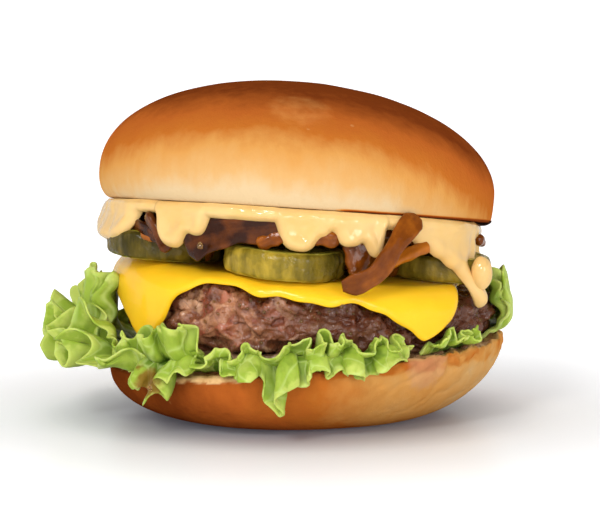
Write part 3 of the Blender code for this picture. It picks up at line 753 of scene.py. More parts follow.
def pickle_material():
    """Pickle: mottled olive skin with darker stripes on the side, and a lit copy of it mixed in as painted
    light; paler flesh with seeds on the cut faces.
    """
    fill = settings("filling")
    mat, tree, shader, place = new_material("pickle", 0.2, Specular_IOR_Level=0.2)
    set_glow(shader, 0.12, 0.002, 0.002, 0.0006)
    skin, flesh = tuple(fill.skin), tuple(fill.flesh)
    side = attribute(tree, "side")
    fresh = attribute(tree, "fresh")
    stripes = mottle(place, 3.4, 1.2, (1.0, 1.0, 0.22), 3.0)
    outside = mixed(stripes, skin, srgb(58, 50, 10))
    # Painted light: a lighter, lit copy of the skin, mixed in by each slice's share of painted light.
    bright = mixed(stripes, srgb(176, 148, 48), srgb(120, 102, 26))
    outside = mixed(fresh, outside, bright)
    blotch = mapped(mottle(place, 5.0, 1.3, seed=7.0), 0.6, 0.95, 0.0, 0.3)
    outside = mixed(blotch, outside, srgb(74, 70, 16))
    inside = mixed(mottle(place, 3.0, 1.0, seed=5.0), flesh, srgb(140, 132, 42))
    seed = cells(place, 330.0).outputs["Distance"]
    inside = mixed(mapped(seed, 0.14, 0.22, 0.4, 0.0), inside, srgb(206, 192, 110))
    set_colour(shader, mixed(side, inside, outside))
    set_bump(shader, place, 1.8, 0.16, 0.5)
    return mat


def onion_material():
    """Fried onion: glossy amber to dark brown, streaked along the strip."""
    fill = settings("filling")
    mat, tree, shader, place = new_material("fried onion", 0.1, Specular_IOR_Level=0.25)
    across = attribute(tree, "across")
    tone = attribute(tree, "tone")
    lines = node(tree, "ShaderNodeCombineXYZ", {0: times(across, 2.6), 1: tone}).outputs[0]
    streak = clouds(lines, 1.4, 3.0)[0]
    depth = shifted(tone, streak, 0.5)
    patch = mottle(place, 5.0, 0.9, seed=2.0)
    depth = shifted(depth, patch, 0.35)
    amber = srgb(178, 100, 22)
    base = ramp(depth, [(0.0, tuple(fill.burnt_onion)), (0.5, tuple(fill.onion)), (1.0, amber)])
    set_colour(shader, base)
    set_bump(shader, place, 1.9, 0.2, 0.15)
    return mat


def sauce_material():
    """Burger sauce: smooth, creamy and glossy, with a few tiny specks."""
    mat, _, shader, place = new_material("burger sauce", 0.12, Specular_IOR_Level=0.45)
    set_glow(shader, 0.1, 0.004, 0.0024, 0.001)
    cream = tuple(settings("filling").cream)
    base = mixed(mottle(place, 11.0, 0.9, seed=1.0), cream, srgb(222, 180, 108))
    speck = cells(place, 190.0).outputs["Distance"]
    rare = mapped(mottle(place, 7.0, 1.0, seed=9.0), 0.7, 0.9)
    speck = times(mapped(speck, 0.05, 0.10, 0.7, 0.0), rare)
    set_colour(shader, mixed(speck, base, srgb(140, 104, 40)))
    return mat


def lettuce_material():
    """Lettuce: bright green with a paler rim, deeper green inside, painted shade in the folds, and branching
    veins.
    """
    leaf = settings("lettuce")
    mat, tree, shader, place = new_material("lettuce", 0.42, Specular_IOR_Level=0.16)
    set_glow(shader, 0.3, 0.0016, 0.0024, 0.0006)
    out = attribute(tree, "out")
    along = attribute(tree, "along")
    young, green, deep = tuple(leaf.young), tuple(leaf.leaf), tuple(leaf.deep)
    grows = shifted(out, mottle(place, 5.0), 0.4)
    base = ramp(grows, [(0.2, deep), (0.62, green), (0.88, green), (1.0, young)])
    base = mixed(mapped(mottle(place, 8.0, 1.0, seed=3.0), 0.45, 0.9, 0.0, 0.55), base, young)
    # Painted shade: deeper green in the hollows of the frills.
    base = mixed(times(attribute(tree, "hollow"), 0.5), base, deep)
    lines = node(tree, "ShaderNodeCombineXYZ", {0: times(along, 1.0), 1: times(out, 0.6)})
    warp = clouds(lines.outputs[0], 2.0, 2.0)["Color"]
    lines = vector_sum("ADD", lines.outputs[0], vector_sum("SCALE", warp, 0.35))
    veins = cells(lines, 2.6, "DISTANCE_TO_EDGE").outputs[0]
    veins = mapped(veins, 0.0, 0.06, 0.35, 0.0)
    base = mixed(veins, base, srgb(206, 222, 140))
    juice = stain(place, (-37.9, -46.6, 14.9), 5.0, 0.7)
    juice = sum_of("MAXIMUM", juice, stain(place, (-42.0, -44.5, 20.5), 3.4, 0.7))
    base = mixed(times(juice, 0.75), base, srgb(130, 62, 18))
    set_colour(shader, base)
    set_bump(shader, place, 2.6, 0.18, 0.25)
    return mat


def clear_material():
    """Clear juice and fat."""
    values = {"Transmission_Weight": 0.9, "Specular_IOR_Level": 0.7, "IOR": 1.33}
    mat, _, shader, _ = new_material("meat juice", 0.04, **values)
    shader.inputs["Base Color"].default_value = (*srgb(226, 188, 128), 1.0)
    return mat


# The heel, lower half of the bun

HEEL_CENTRE_X = 3.5
HEEL_FLAT_SHARE = 0.55


def heel_top(x, y):
    return 17.4 + 0.075 * x - 0.02 * y


def heel_face(x, y):
    far = np.minimum(1.0, np.hypot(x - HEEL_CENTRE_X, y) / 55.5)
    return heel_top(x, y) + (2.4 - 0.035 * x) * (1.0 - far * far)


def heel_mesh(crust, crumb):
    radius = settings("bun").heel_radius / MM
    angle = circle(420)
    side, up = cos(angle), sin(angle)
    round_out = radius * (1.0 + 0.012 * sin(3 * angle + 0.6) + 0.008 * sin(5 * angle))
    left = ease(0.35, 0.95, cos(angle - radians(222)))
    exponent = blend(2.0, 1.7, 0.5 + 0.5 * side) + 0.35 * left
    rows, part = [], []
    for t in np.linspace(0.02, 1.0, 10):
        r = t * HEEL_FLAT_SHARE * round_out
        rows.append(stack(HEEL_CENTRE_X + r * side, r * up, 0.0 * r))
        part.append(0.0)
    for t in np.linspace(0.0, 1.0, 64)[1:]:
        bow = sin(t * pi / 2) ** (2 / exponent)
        r = round_out * blend(HEEL_FLAT_SHARE, 1.0, bow)
        lift = 1.0 - cos(t * pi / 2) ** (2 / exponent)
        x, y = HEEL_CENTRE_X + r * side, r * up
        rows.append(stack(x, y, lift * (heel_top(x, y) - 0.5)))
        part.append(0.0)
    for t in (0.993, 0.984, *np.linspace(0.972, 0.02, 34)):
        r = t * (round_out - 0.3)
        x, y = HEEL_CENTRE_X + r * side, r * up
        settle = 0.25 if t == 0.993 else 0.0
        rows.append(stack(x, y, heel_face(x, y) - settle))
        part.append(1.0 if t < 0.99 else 0.5)
    rows = np.array(rows)
    is_face = np.repeat(np.array(part)[:, None], len(angle), axis=1)
    x, y, z = rows[..., 0], rows[..., 1], rows[..., 2]
    height = np.clip(z / 18.0, 0, 1)
    right = ease(18.0, 50.0, x)
    outward = stack(x - HEEL_CENTRE_X, y, 0 * x) / (np.hypot(x - HEEL_CENTRE_X, y)[..., None] + 1e-6)
    creases = 0.62 * (z - 0.45 * x) + 3.6 * wobble(rows, 11.0, 3.0)
    folds = (1.0 - np.abs(sin(creases)) ** 0.6) * ease(14.0, 34.0, x) * ease(2.0, 7.0, z)
    rows = rows + outward * ((-0.7 * folds - 0.3 * right) * (1 - is_face))[..., None]
    torn = wobble(rows * (1, 1, 0.2), 3.6, 1.0) * ease(0.72, 1.0, height) * blend(0.35, 1.5, right)
    at_rim = ease(44.0, 54.0, np.hypot(x - HEEL_CENTRE_X, y))
    rows[..., 2] += torn * at_rim
    rows = rows - outward * (np.abs(torn) * at_rim * 0.7)[..., None]
    mesh = wrapped("heel", rows)
    bake = 1.02 - 0.30 * ease(-50.0, 5.0, x) - 0.28 * ease(-6.0, 24.0, x)
    bake -= 0.14 * ease(30.0, 54.0, x)
    bake += 0.22 * ease(0.0, 30.0, y)
    bake += 0.12 * (1.0 - ease(0.0, 6.0, z)) + 0.06 * wobble(rows, 12.0, 4.0)
    bake += 0.35 * (1 - is_face) * ease(0.93, 1.0, height) * (0.5 + 0.5 * wobble(rows, 5.0, 6.0))
    bake -= 0.07 * folds * ease(20.0, 40.0, x)
    rough = on_rows(np.where(is_face == 1.0, 1.0, 0.12 * ease(1.0, 5.0, z)))
    mesh = relief(mesh, None, (7, 0.5), (3.4, 0.9), (2.2, 0.9), seed=2.0, part_of=rough)
    paint(mesh, "bake", on_rows(bake))
    first_cut = 1 + int(np.argmax(np.array(part) == 1.0)) * len(angle)
    coat_both(mesh, crust, crumb, (min(polygon.vertices) >= first_cut for polygon in mesh.polygons))
    bearing = np.degrees(np.arctan2(y, x)) % 360.0
    bare = ease(229.0, 236.0, bearing) * ease(262.0, 254.0, bearing)
    bare = 2.1 * bare + z - heel_top(x, y) + 0.9 * wobble(rows, 3.0, 9.0)
    paint(mesh, "bare", on_rows(ease(0.2, 0.9, bare)))
    return mesh


# The crown, upper half of the bun


def crown_cut(x, y):
    bun = settings("bun")
    return bun.lift / MM - math.tan(bun.lean_right) * x + math.tan(bun.lean_back) * y


def crown_mesh(crust, crumb):
    bun = settings("bun")
    values = {"Radius": bun.radius, "Height": bun.height - 0.3 * MM, "Widest": bun.widest, "Foot": 0.955}
    values |= {"Roundness": 2.08, "Unevenness": 0.006, "Columns": 256, "Rows": 150, "Material": crust}
    values |= {"Lean": (bun.lean_back, bun.lean_right, 0.0), "Place": (0.0, 0.0, bun.lift)}
    mesh = grown(bpy.data.meshes.new("crown"), once(dome_tree), values)
    spots = spots_of(mesh)
    over = spots[:, 2] - crown_cut(spots[:, 0], spots[:, 1])
    mesh = relief(mesh, None, (22, 0.3), (9, 0.0), (3, 0.0), seed=1.0, part_of=ease(0.0, 8.0, over))
    x, y = spots[:, 0], spots[:, 1]
    lower = 0.15 * np.clip(y + 50.0, 0.0, 60.0) + 0.07 * x + 0.0033 * x * x
    lower = lower - 2.0 * ease(-25.0, -50.0, x)
    bake = (over + lower) / 36.0 + 0.015
    feather = wobble(spots * (1.0, 1.0, 0.5), 7.0, 2.0, 3)
    bake += 0.03 * feather + 0.05 * wobble(spots, 24.0, 5.0)
    edge = (1.0 - ease(0.2, 0.85, over)) * ease(5.0, 18.0, x + 6.0 * wobble(spots, 5.0, 8.0))
    paint(mesh, "bake", np.clip(bake, 0.0, 1.0) + 0.9 * edge)
    paint(mesh, "level", 0.0)
    paint(mesh, "bare", 0.0)
    flat = (over < 0.05) & (np.hypot(x, y) < 51.0)
    coat_both(mesh, crust, crumb, (all(flat[v] for v in polygon.vertices) for polygon in mesh.polygons))
    mesh.shade_smooth()
    return mesh


def burnt_flap_mesh():
    """The thin burnt flap that stands off the crown's lower right edge."""
    steps, wide = 14, 7
    points = []
    for face in (1, -1):
        for k in range(steps):
            t = k / (steps - 1)
            for j in range(wide):
                s = j / (wide - 1) * 2 - 1
                half = 1.5 * (1 - t) ** 0.7 + 0.1
                x = 49.0 + 5.6 * t
                y = -9.0 + s * half * 2.4
                z = crown_cut(50.0, -9.0) + 0.1 - 1.1 * sin(2.2 * t) + 0.9 * t * t
                z += 0.3 * sin(4 * s + 3 * t)
                points.append((x, y, z + face * 0.18 * (1.05 - t)))
    layer = steps * wide
    quads, rim = sheet(steps, wide)
    faces = quads[:, (0, 3, 2, 1)].tolist() + (quads[:, (1, 2, 3, 0)] + layer).tolist()
    faces += [(a, b, layer + b, layer + a) for a, b in zip(rim, rim[1:] + rim[:1])]
    return solid("burnt_flap", points, faces, tidy=True)


# The patty

PATTY_CENTRE_X = 4.7
PATTY_RADIUS = 52.0
PATTY_EDGE = 5.0


def patty_top(x):
    return 38.8 - 0.078 * x


def patty_base(x):
    return 21.7 + 0.02 * x


def crag(points):
    flat = np.asarray(points, float).reshape(-1, 3)
    shift = Vector((7.0, 0.0, 3.0))
    lumps = [noise.noise(Vector((x, y, 1.3 * z)) / 8.0) for x, y, z in flat]
    fine = [noise.noise(Vector((x, y, z)) / 3.4 + shift) for x, y, z in flat]
    values = 0.45 + np.array(lumps) + 0.6 * np.array(fine)
    return np.clip(values, 0.0, 1.0).reshape(np.asarray(points).shape[:-1])


def patty_mesh(mat):
    reach = PATTY_RADIUS - PATTY_EDGE
    angle = circle(760)
    side, up = cos(angle), sin(angle)
    plan = [("base", d, 0.0) for d in np.linspace(0.02, 0.96, 10) * reach]
    turns = np.linspace(0.0, pi / 2, 11)[:-1]
    plan += [("base", reach, a) for a in turns]
    plan += [("side", share_up, 0.0) for share_up in np.linspace(0.0, 1.0, 26)]
    plan += [("top", reach, a) for a in reversed(turns)]
    plan += [("top", d, 0.0) for d in reversed(np.linspace(0.02, 0.96, 10) * reach)]
    rows, sear = [], []
    for kind, value, bend in plan:
        flat_part = kind != "side" and value < reach
        radius = PATTY_RADIUS if kind == "side" else value + PATTY_EDGE * sin(bend)
        drop = PATTY_EDGE if kind == "side" else 0.0 if flat_part else PATTY_EDGE * (1 - cos(bend))
        x, y = PATTY_CENTRE_X + radius * side, radius * up
        low, high = patty_base(x) + drop, patty_top(x) - drop
        z = {"base": low, "top": high, "side": blend(low, high, value)}[kind]
        row = stack(x, y, z)
        if not flat_part or value > reach * 0.9:
            bite = settings("filling").crag / MM * crag(row)
            row = row - stack(side, up, 0 * side) * bite[:, None]
            row[:, 2] += 0.35 * bite * {"base": 1.0, "top": -1.0, "side": 0.0}[kind]
        rows.append(row)
        up_side = ease(0.45, 1.0, value) if kind == "side" else 0.0
        sear.append(1.0 if flat_part or kind == "top" else 0.7 if kind == "base" else float(up_side))
    mesh = wrapped("patty", rows)
    sear = on_rows(np.repeat(np.array(sear)[:, None], len(angle), axis=1))
    amount = np.where(np.abs(np.arange(len(plan)) - 0.5 * len(plan) + 0.5) > 0.5 * len(plan) - 9, 0.35, 1.0)
    amount = on_rows(np.repeat(amount[:, None], len(angle), axis=1))
    mesh = relief(mesh, None, (8.0, 1.2), (4.8, 2.7), (3.2, 1.3), (1.0, 1.0, 1.1), 0.4, 3.0, amount)
    mesh = relief(mesh, mat, (4.0, 0.3), (2.2, 1.1), (1.5, 0.6), (1, 1, 1), 0.45, 7.0, amount, "fine_level")
    paint(mesh, "sear", sear)
    return mesh


# The cheese

CHEESE_TURN = radians(-6.6)
CHEESE_GAP = 0.35


def cheese_point(s, t, offset, thick):
    """Points of the slice draped over the patty. s and t run from -1 to 1 across the square."""
    half = 49.4 + 1.0 * sin(4.1 * s + 1.0) * t * t + 0.9 * sin(4.7 * t + 0.4) * s * s
    across = half * s * (1.0 - 0.085 * t**8) - 2.6 * np.maximum(0.0, s) ** 2
    across = across - 2.0 * np.maximum(0.0, -s) ** 3 * (1.0 - t * t)
    pulled = 5.0 * hump(s, -0.52, 0.34) + 2.5 * hump(s, 0.66, 0.26) + 0.6
    pulled = pulled - 1.1 * hump(s, 0.05, 0.4) + 0.35 * sin(17.0 * s) + 0.25 * sin(29.0 * s + 1.0)
    along = half * t * (1.0 - 0.085 * s**8) + pulled * np.maximum(0.0, -t) ** 3
    a = across * cos(CHEESE_TURN) - along * sin(CHEESE_TURN) + 0.6 - PATTY_CENTRE_X
    b = across * sin(CHEESE_TURN) + along * cos(CHEESE_TURN) - 1.3
    distance, angle = np.hypot(a, b), np.arctan2(b, a)
    flat = PATTY_RADIUS - PATTY_EDGE
    loose = 1.15 * ease(flat - 9.0, flat - 3.0, distance) * (1.0 - ease(0.3, 0.9, offset / thick))
    lift = offset + loose
    bend = np.clip((distance - flat) / PATTY_EDGE, 0.0, pi / 2)
    radius = np.minimum(distance, flat) + (PATTY_EDGE + lift) * sin(bend)
    drop = PATTY_EDGE - (PATTY_EDGE + lift) * cos(bend)
    drop = drop + np.maximum(0.0, distance - flat - PATTY_EDGE * pi / 2)
    x, y = PATTY_CENTRE_X + radius * cos(angle), radius * sin(angle)
    return stack(x, y, patty_top(x) - drop)


def cheese_mesh():
    thick = settings("filling").cheese / MM
    steps = 150
    marks = power(np.linspace(-1.0, 1.0, steps), 0.8)
    s, t = np.meshgrid(marks, marks)
    low, high = CHEESE_GAP, CHEESE_GAP + thick
    middle, half = (low + high) / 2, thick / 2

    def sag(grid):
        waves = 0.35 * wobble(grid, 15.0, 4.0, 1) + 0.12 * wobble(grid, 5.0, 6.0, 1)
        out = grid - (PATTY_CENTRE_X, 0.0, 30.0)
        out = out / np.linalg.norm(out, axis=-1, keepdims=True)
        return grid + out * waves[..., None]

    layers, turns = [], radians([-90, -60, -30, 0, 30, 60, 90])
    for swing in turns:
        size = 0.973 + 0.027 * cos(swing)
        layers.append(sag(cheese_point(s * size, t * size, middle + half * sin(swing), thick)))
    quads, border = sheet(steps, steps)
    base, top = layers[0].reshape(-1, 3), layers[-1].reshape(-1, 3)
    loops = [layer.reshape(-1, 3)[border] for layer in layers[1:-1]]
    points = np.vstack([base, top, *loops])
    faces = (quads + steps * steps).tolist() + quads[:, ::-1].tolist()
    count = len(border)
    rings = [border] + [[2 * steps * steps + k * count + i for i in range(count)] for k in range(len(loops))]
    rings.append([steps * steps + i for i in border])
    for below, above in zip(rings, rings[1:]):
        for i in range(count):
            j = (i + 1) % count
            faces.append((below[i], below[j], above[j], above[i]))
    return solid("cheese", points, faces)


def cheese_top(x):
    return patty_top(x) + CHEESE_GAP + settings("filling").cheese / MM


# The pickles: centre x, centre y, radius, thickness, forward tilt in degrees, and share of painted light on
# the skin

PICKLES = {
    "pickle_left": (-35.2, -16.5, 16.2, 7.6, 0.5, 0.0),
    "pickle_middle": (-2.5, -38.5, 16.0, 7.6, 2.4, 1.0),
    "pickle_right": (39.5, -17.0, 14.0, 6.8, 1.0, 0.4),
    "pickle_back_left": (-22.0, 27.0, 15.5, 4.6, -1.0, 0.4),
    "pickle_back_right": (21.0, 31.0, 15.0, 4.6, -1.0, 0.7),
}


def pickle_mesh(name, mat):
    x, y, radius, thick, tilt, fresh = PICKLES[name]
    phase = x * 0.37 + y
    angle = circle(184)
    outer = radius * (1.0 + 0.022 * sin(3 * angle + phase) + 0.012 * sin(7 * angle + 2 * phase))
    rows, side = [], []
    for share_out in np.linspace(0.02, 0.9, 14):
        rows.append((share_out * outer, 0.0, 0.0))
    for up in np.linspace(0.0, 1.0, 30):
        corner = abs(2 * up - 1) ** 7
        inset = 1.0 - 0.03 * abs(2 * up - 1) ** 3 - 0.045 * corner
        height = thick * blend(0.5, up, 1.0 - 0.02 * corner)
        rows.append((outer * inset, height, 1.0 - ease(0.6, 1.0, corner)))
    for share_out in np.linspace(0.9, 0.02, 14):
        dish = 0.35 * (1.0 - ease(0.5, 0.9, share_out))
        rows.append((share_out * outer, thick - dish, 0.0))
    lean = radians(tilt)
    slope = math.atan(0.078)
    grid = []
    for r, z, is_side in rows:
        a, b, c = r * cos(angle), r * sin(angle), np.broadcast_to(z, angle.shape)
        a, c = a * cos(slope) + c * sin(slope), c * cos(slope) - a * sin(slope)
        b, c = b * cos(lean) - c * sin(lean), b * sin(lean) + c * cos(lean)
        grid.append(stack(x + a, y + b, cheese_top(x) + 0.55 + c))
        side.append(np.full(len(angle), float(is_side)))
    mesh = wrapped(name, grid)
    side = np.array(side)
    rough = on_rows(0.35 + 0.65 * side)
    mesh = relief(mesh, mat, (5.0, 0.35), (2.4, 0.5), (3.0, 0.2), (1, 1, 0.7), 0.5, 3.0 + x, rough)
    paint(mesh, "side", on_rows(side))
    grid = np.array(grid)
    # Painted shade: each slice takes less painted light towards its right side.
    darker = ease(-2.0, 10.0, grid[..., 0] - x)
    paint(mesh, "fresh", on_rows(fresh * (1.0 - 0.85 * darker)))
    return mesh


# The onions


def smooth_path(points, count):
    """A smooth curve through the given points, as count evenly spread ones."""
    points = np.asarray(points, float)
    ends = np.vstack([2 * points[0] - points[1], points, 2 * points[-1] - points[-2]])
    path = []
    for f in np.linspace(0.0, len(points) - 1, count):
        i = min(int(f), len(points) - 2)
        t = f - i
        a, b, c, d = ends[i : i + 4]
        bent = (2 * a - 5 * b + 4 * c - d) * t * t + (3 * b - a - 3 * c + d) * t**3
        path.append(0.5 * (2 * b + (c - a) * t + bent))
    return np.array(path)


def strip_mesh(route, width, thick, cup=0.0, twist=0.0, tone=0.5, seed=0.0, stations=48, sides=24):
    """A strip of fried onion along a curve: oval across, cupped, twisted and wrinkled."""
    path = smooth_path(route, stations)
    rows, across_of = [], []
    for k, here in enumerate(path):
        t = k / (stations - 1)
        along = path[min(k + 1, stations - 1)] - path[max(k - 1, 0)]
        along /= np.linalg.norm(along)
        out = np.array((here[0], here[1], 0.0))
        out -= along * out.dot(along)
        out /= np.linalg.norm(out)
        across = np.cross(along, out)
        roll = twist * (t - 0.5) + 0.25 * sin(5.0 * t + seed)
        turned = across * cos(roll) + out * sin(roll)
        across, out = turned, out * cos(roll) - across * sin(roll)
        end = min(1.0, (sin(pi * blend(0.03, 0.97, t)) * 2.6) ** 0.5)
        swell = 1.0 + 0.12 * sin(7.0 * t + 2.0 * seed) + 0.06 * sin(17.0 * t + seed)
        turns = circle(sides)
        w = 0.5 * width * end * swell * np.sign(cos(turns)) * np.abs(cos(turns)) ** 0.85
        ridge = 1.0 + 0.05 * cos(9.0 * w / width * 2 + seed) * np.abs(sin(turns))
        h = 0.5 * thick * end * sin(turns) * ridge
        lifted = cup * (w / (0.5 * width)) ** 2
        rows.append(here + across * w[:, None] + out * (h + lifted)[:, None])
        across_of.append(w / width + seed)
    rows = np.array(rows)
    wrinkle = wobble(rows, 2.6, seed + 11.0, 1) * 0.22
    middle = path[:, None, :]
    away = rows - middle
    away /= np.linalg.norm(away, axis=-1, keepdims=True) + 1e-9
    rows = rows + away * wrinkle[..., None]
    mesh = wrapped("strip", rows, tidy=True)
    paint(mesh, "across", on_rows(across_of))
    paint(mesh, "tone", tone)
    paint(mesh, "level", 0.0)
    paint(mesh, "relief", 1.0)
    return mesh


# Strips that show at the front: route, width, thickness, cup, twist and tone
FRONT_STRIPS = (
    (
        ((-46.4, -19.0, 57.6), (-45.5, -21.9, 55.1), (-44.3, -24.3, 52.4), (-44.0, -24.8, 50.6)),
        2.6, 2.0, 0.2, 0.8, 0.3,
    ),
    (
        ((-46.1, -20.6, 56.4), (-41.5, -28.9, 54.9), (-37.2, -34.2, 53.2), (-33.0, -38.2, 51.2)),
        3.8, 2.2, 0.4, 1.0, 0.12,
    ),
    (
        ((-39.0, -34.2, 58.6), (-37.2, -35.6, 55.7), (-35.3, -37.5, 52.4), (-33.1, -39.4, 49.0)),
        3.6, 2.4, 0.5, 0.5, 0.15,
    ),
    (((-45.8, -21.4, 51.2), (-41.3, -29.1, 52.2), (-36.6, -34.7, 52.0)), 2.6, 2.2, 0.2, 0.3, 0.85),
    (
        ((-28.4, -42.3, 50.6), (-20.6, -46.6, 54.2), (-13.0, -49.4, 56.2), (-2.8, -51.2, 57.2)),
        9.4, 2.4, 0.9, 0.3, 0.08,
    ),
    (((-19.0, -46.9, 57.6), (-12.7, -48.9, 59.0), (-4.2, -50.4, 59.4)), 3.4, 2.2, 0.3, 0.2, 0.3),
    (((-9.4, -50.2, 51.8), (-5.6, -50.9, 53.0), (-2.2, -51.2, 54.8)), 4.2, 2.4, 0.3, 0.6, 0.5),
    (((8.5, -49.7, 59.3), (8.8, -49.9, 56.5), (9.8, -50.0, 53.2)), 5.0, 2.8, 0.4, 0.5, 0.25),
    (((2.6, -51.3, 52.5), (6.9, -51.6, 53.4), (12.0, -50.6, 52.7)), 3.6, 2.6, 0.3, 0.4, 0.5),
    (((17.2, -47.2, 53.6), (16.8, -47.9, 48.4), (16.6, -48.2, 43.2)), 7.0, 3.6, 0.4, 0.3, 0.3),
    (((50.6, -13.0, 49.6), (51.6, -8.0, 48.6), (51.8, -3.0, 48.4)), 3.2, 2.8, 0.2, 0.3, 0.5),
)
LONG_STRIP = (
    (32.6, -44.4, 58.3),
    (30.2, -47.6, 56.2),
    (27.2, -50.8, 52.6),
    (24.6, -53.2, 48.8),
    (21.6, -54.8, 45.2),
    (17.6, -56.2, 42.8),
    (12.6, -57.3, 41.6),
)


def rolled_onion_mesh():
    """The strip that has rolled into a tube, open at its left end."""
    start, end = np.array((24.4, -47.2, 46.4)), np.array((35.4, -40.6, 50.6))
    along = (end - start) / np.linalg.norm(end - start)
    out = np.array((start[0], start[1], 0.0))
    out -= along * out.dot(along)
    out /= np.linalg.norm(out)
    up = np.cross(along, out)
    turns = circle(40)
    rows, across = [], []
    plan = [(0.25, 0.01), (0.25, 0.55), (0.1, 0.62), (0.02, 0.72), (0.0, 0.86), (0.02, 0.97)]
    plan += [(0.06 + 0.9 * k / 30, 1.0 + 0.06 * sin(k * 0.5)) for k in range(31)]
    plan += [(0.975, 0.86), (0.985, 0.5), (0.99, 0.05)]
    for t, size in plan:
        centre = start + (end - start) * t
        r = 1.75 * size * (1.0 + 0.09 * sin(2 * turns + 0.8) + 0.05 * sin(5 * turns + 3 * t))
        aside, above = (r * cos(turns))[:, None], (r * sin(turns) * 1.05)[:, None]
        rows.append(centre + aside * out + above * up)
        across.append(turns / 3.0)
    mesh = wrapped("rolled", rows, tidy=True)
    paint(mesh, "across", on_rows(across))
    paint(mesh, "tone", 0.88)
    paint(mesh, "level", 0.0)
    paint(mesh, "relief", 1.0)
    return mesh


def sauce_slab(y):
    return np.maximum(1.9, 3.3 - 0.03 * (y + 25.0))


def onion_base(x, y):
    return 52.3 - 0.078 * x - 0.06 * (y + 25.0)


def pickle_gap(x, y):
    """How far each place is from the nearest pickle slice."""
    return np.min([np.hypot(x - spec[0], y - spec[1]) - spec[2] for spec in PICKLES.values()], axis=0)


def onion_heap_mesh():
    """The heap behind the strips: onion in a dark tone that also serves as painted shade in the gaps between
    them.
    """
    angle = circle(260)
    radius = 46.6 + 0.5 * sin(5 * angle) + 0.4 * sin(9 * angle + 1.3)
    rows = []
    for kind, out in low_rim_high((0.02, 0.95, 26), 9, (0.95, 0.02, 12)):
        reach = out * radius if kind != "rim" else radius * (0.97 + 0.03 * sin(pi * out))
        x, y = reach * cos(angle), reach * sin(angle)
        low, high = onion_base(x, y), crown_cut(x, y) - sauce_slab(y)
        sag = ease(1.6, 5.0, pickle_gap(x, y)) * ease(45.0, 41.0, np.hypot(x, y))
        if kind == "low":
            low = blend(low, cheese_top(x) + 1.2, sag)
        z = {"low": low, "high": high, "rim": blend(low, high, out)}[kind]
        rows.append(stack(x, y, z))
    mesh = wrapped("heap", rows)
    mesh = relief(mesh, None, (7, 0.9), (4, 1.6), (3, 0.6), (1, 1, 2.2), 0.8, 5.0, 1.0)
    paint(mesh, "across", np.linspace(0, 30, len(mesh.vertices)) % 1.0)
    # A dark onion tone, partly painted shade between the strips.
    paint(mesh, "tone", 0.2)
    return mesh


def loose_strips(draw, count=34):
    """Routes of strips round the sides and the back."""
    for k in range(count):
        middle = blend(-18.0, 196.0, (k + 0.5) / count) + draw.uniform(-4, 4)
        turn_by, rise, radius = draw.uniform(5, 12), draw.uniform(-1.6, 1.6), draw.uniform(46.4, 48.6)
        route = []
        for step in (-1.0, -0.35, 0.35, 1.0):
            a = radians(middle + step * turn_by)
            x, y = radius * cos(a), radius * sin(a)
            low, high = onion_base(x, y), crown_cut(x, y) - float(sauce_slab(y))
            height = blend(low, high, draw.uniform(0.3, 0.7)) + step * rise
            route.append((x, y, min(max(height, low + 0.6), high - 0.4)))
        yield route, draw.uniform(2.6, 5.0), draw.uniform(1.6, 2.4), draw.uniform(0, 0.5), draw.uniform(-1, 1)


def onions_mesh():
    draw = random.Random(settings("stage").seed)
    strips = [onion_heap_mesh(), rolled_onion_mesh()]
    for k, (route, width, thick, cup, twist, tone) in enumerate(FRONT_STRIPS):
        strips.append(strip_mesh(route, width, thick, cup, twist, tone, seed=k * 1.7))
    for route, width, thick, cup, twist in loose_strips(draw):
        tone = draw.uniform(0.2, 0.8)
        strips.append(strip_mesh(route, width, thick, cup, twist, tone, draw.uniform(0, 9), 30, 16))
    return joined("onions", strips)


# The sauce: angle, half width in degrees and length of each drip, measured from the rim downwards

SAUCE_DRIPS = (
    (197, 14.5, 9.6),
    (231.5, 5.0, 10.8),
    (240.5, 3.6, 7.2),
    (271.5, 5.2, 8.6),
    (277.5, 3.2, 5.2),
    (286.5, 4.2, 7.4),
    (293.5, 2.8, 10.0),
    (312, 6.0, 5.5),
    (319, 6.0, 7.5),
    (325, 6.0, 10.5),
    (329.5, 5.0, 14.0),
    (331.5, 3.4, 20.4),
    (351, 7.0, 4.5),
    (13, 7.0, 12.5),
    (38, 9.0, 5.5),
    (66, 8.0, 9.5),
    (79, 4.0, 4.0),
    (93, 9.0, 5.0),
    (114, 6.0, 10.0),
    (124, 4.0, 6.5),
    (146, 8.0, 6.0),
    (165, 6.0, 4.0),
)


def sauce_length(angle):
    """How far the sauce hangs at each angle. Drips that meet flow together."""
    degrees = np.degrees(angle) % 360.0
    total = np.zeros_like(angle)
    for middle, width, long in SAUCE_DRIPS:
        off = np.abs((degrees - middle + 180.0) % 360.0 - 180.0) / width / 1.35
        total = total + (long * np.maximum(0.0, 1.0 - np.minimum(off, 1.0) ** 3.0) ** 0.75) ** 4
    return 2.5 + 0.5 * sin(7 * angle + 0.5) + total**0.25


def sauce_radius(angle, z):
    rim = 53.7 + 0.5 * sin(4 * angle + 0.7) + 0.4 * sin(9 * angle)
    rim = rim + 1.6 * ease(0.75, 1.0, cos(angle - radians(325)))
    rim = rim - 2.6 * ease(0.80, 0.98, cos(angle - radians(2)))
    left = ease(0.6, 1.0, cos(angle - radians(190)))
    rim = rim + left * blend(0.7, -1.6, ease(52.0, 59.5, z))
    below = 52.0 + 0.7 + 2.0 + PATTY_CENTRE_X * cos(angle)
    return blend(np.maximum(below, rim), rim, ease(34.0, 45.0, z))


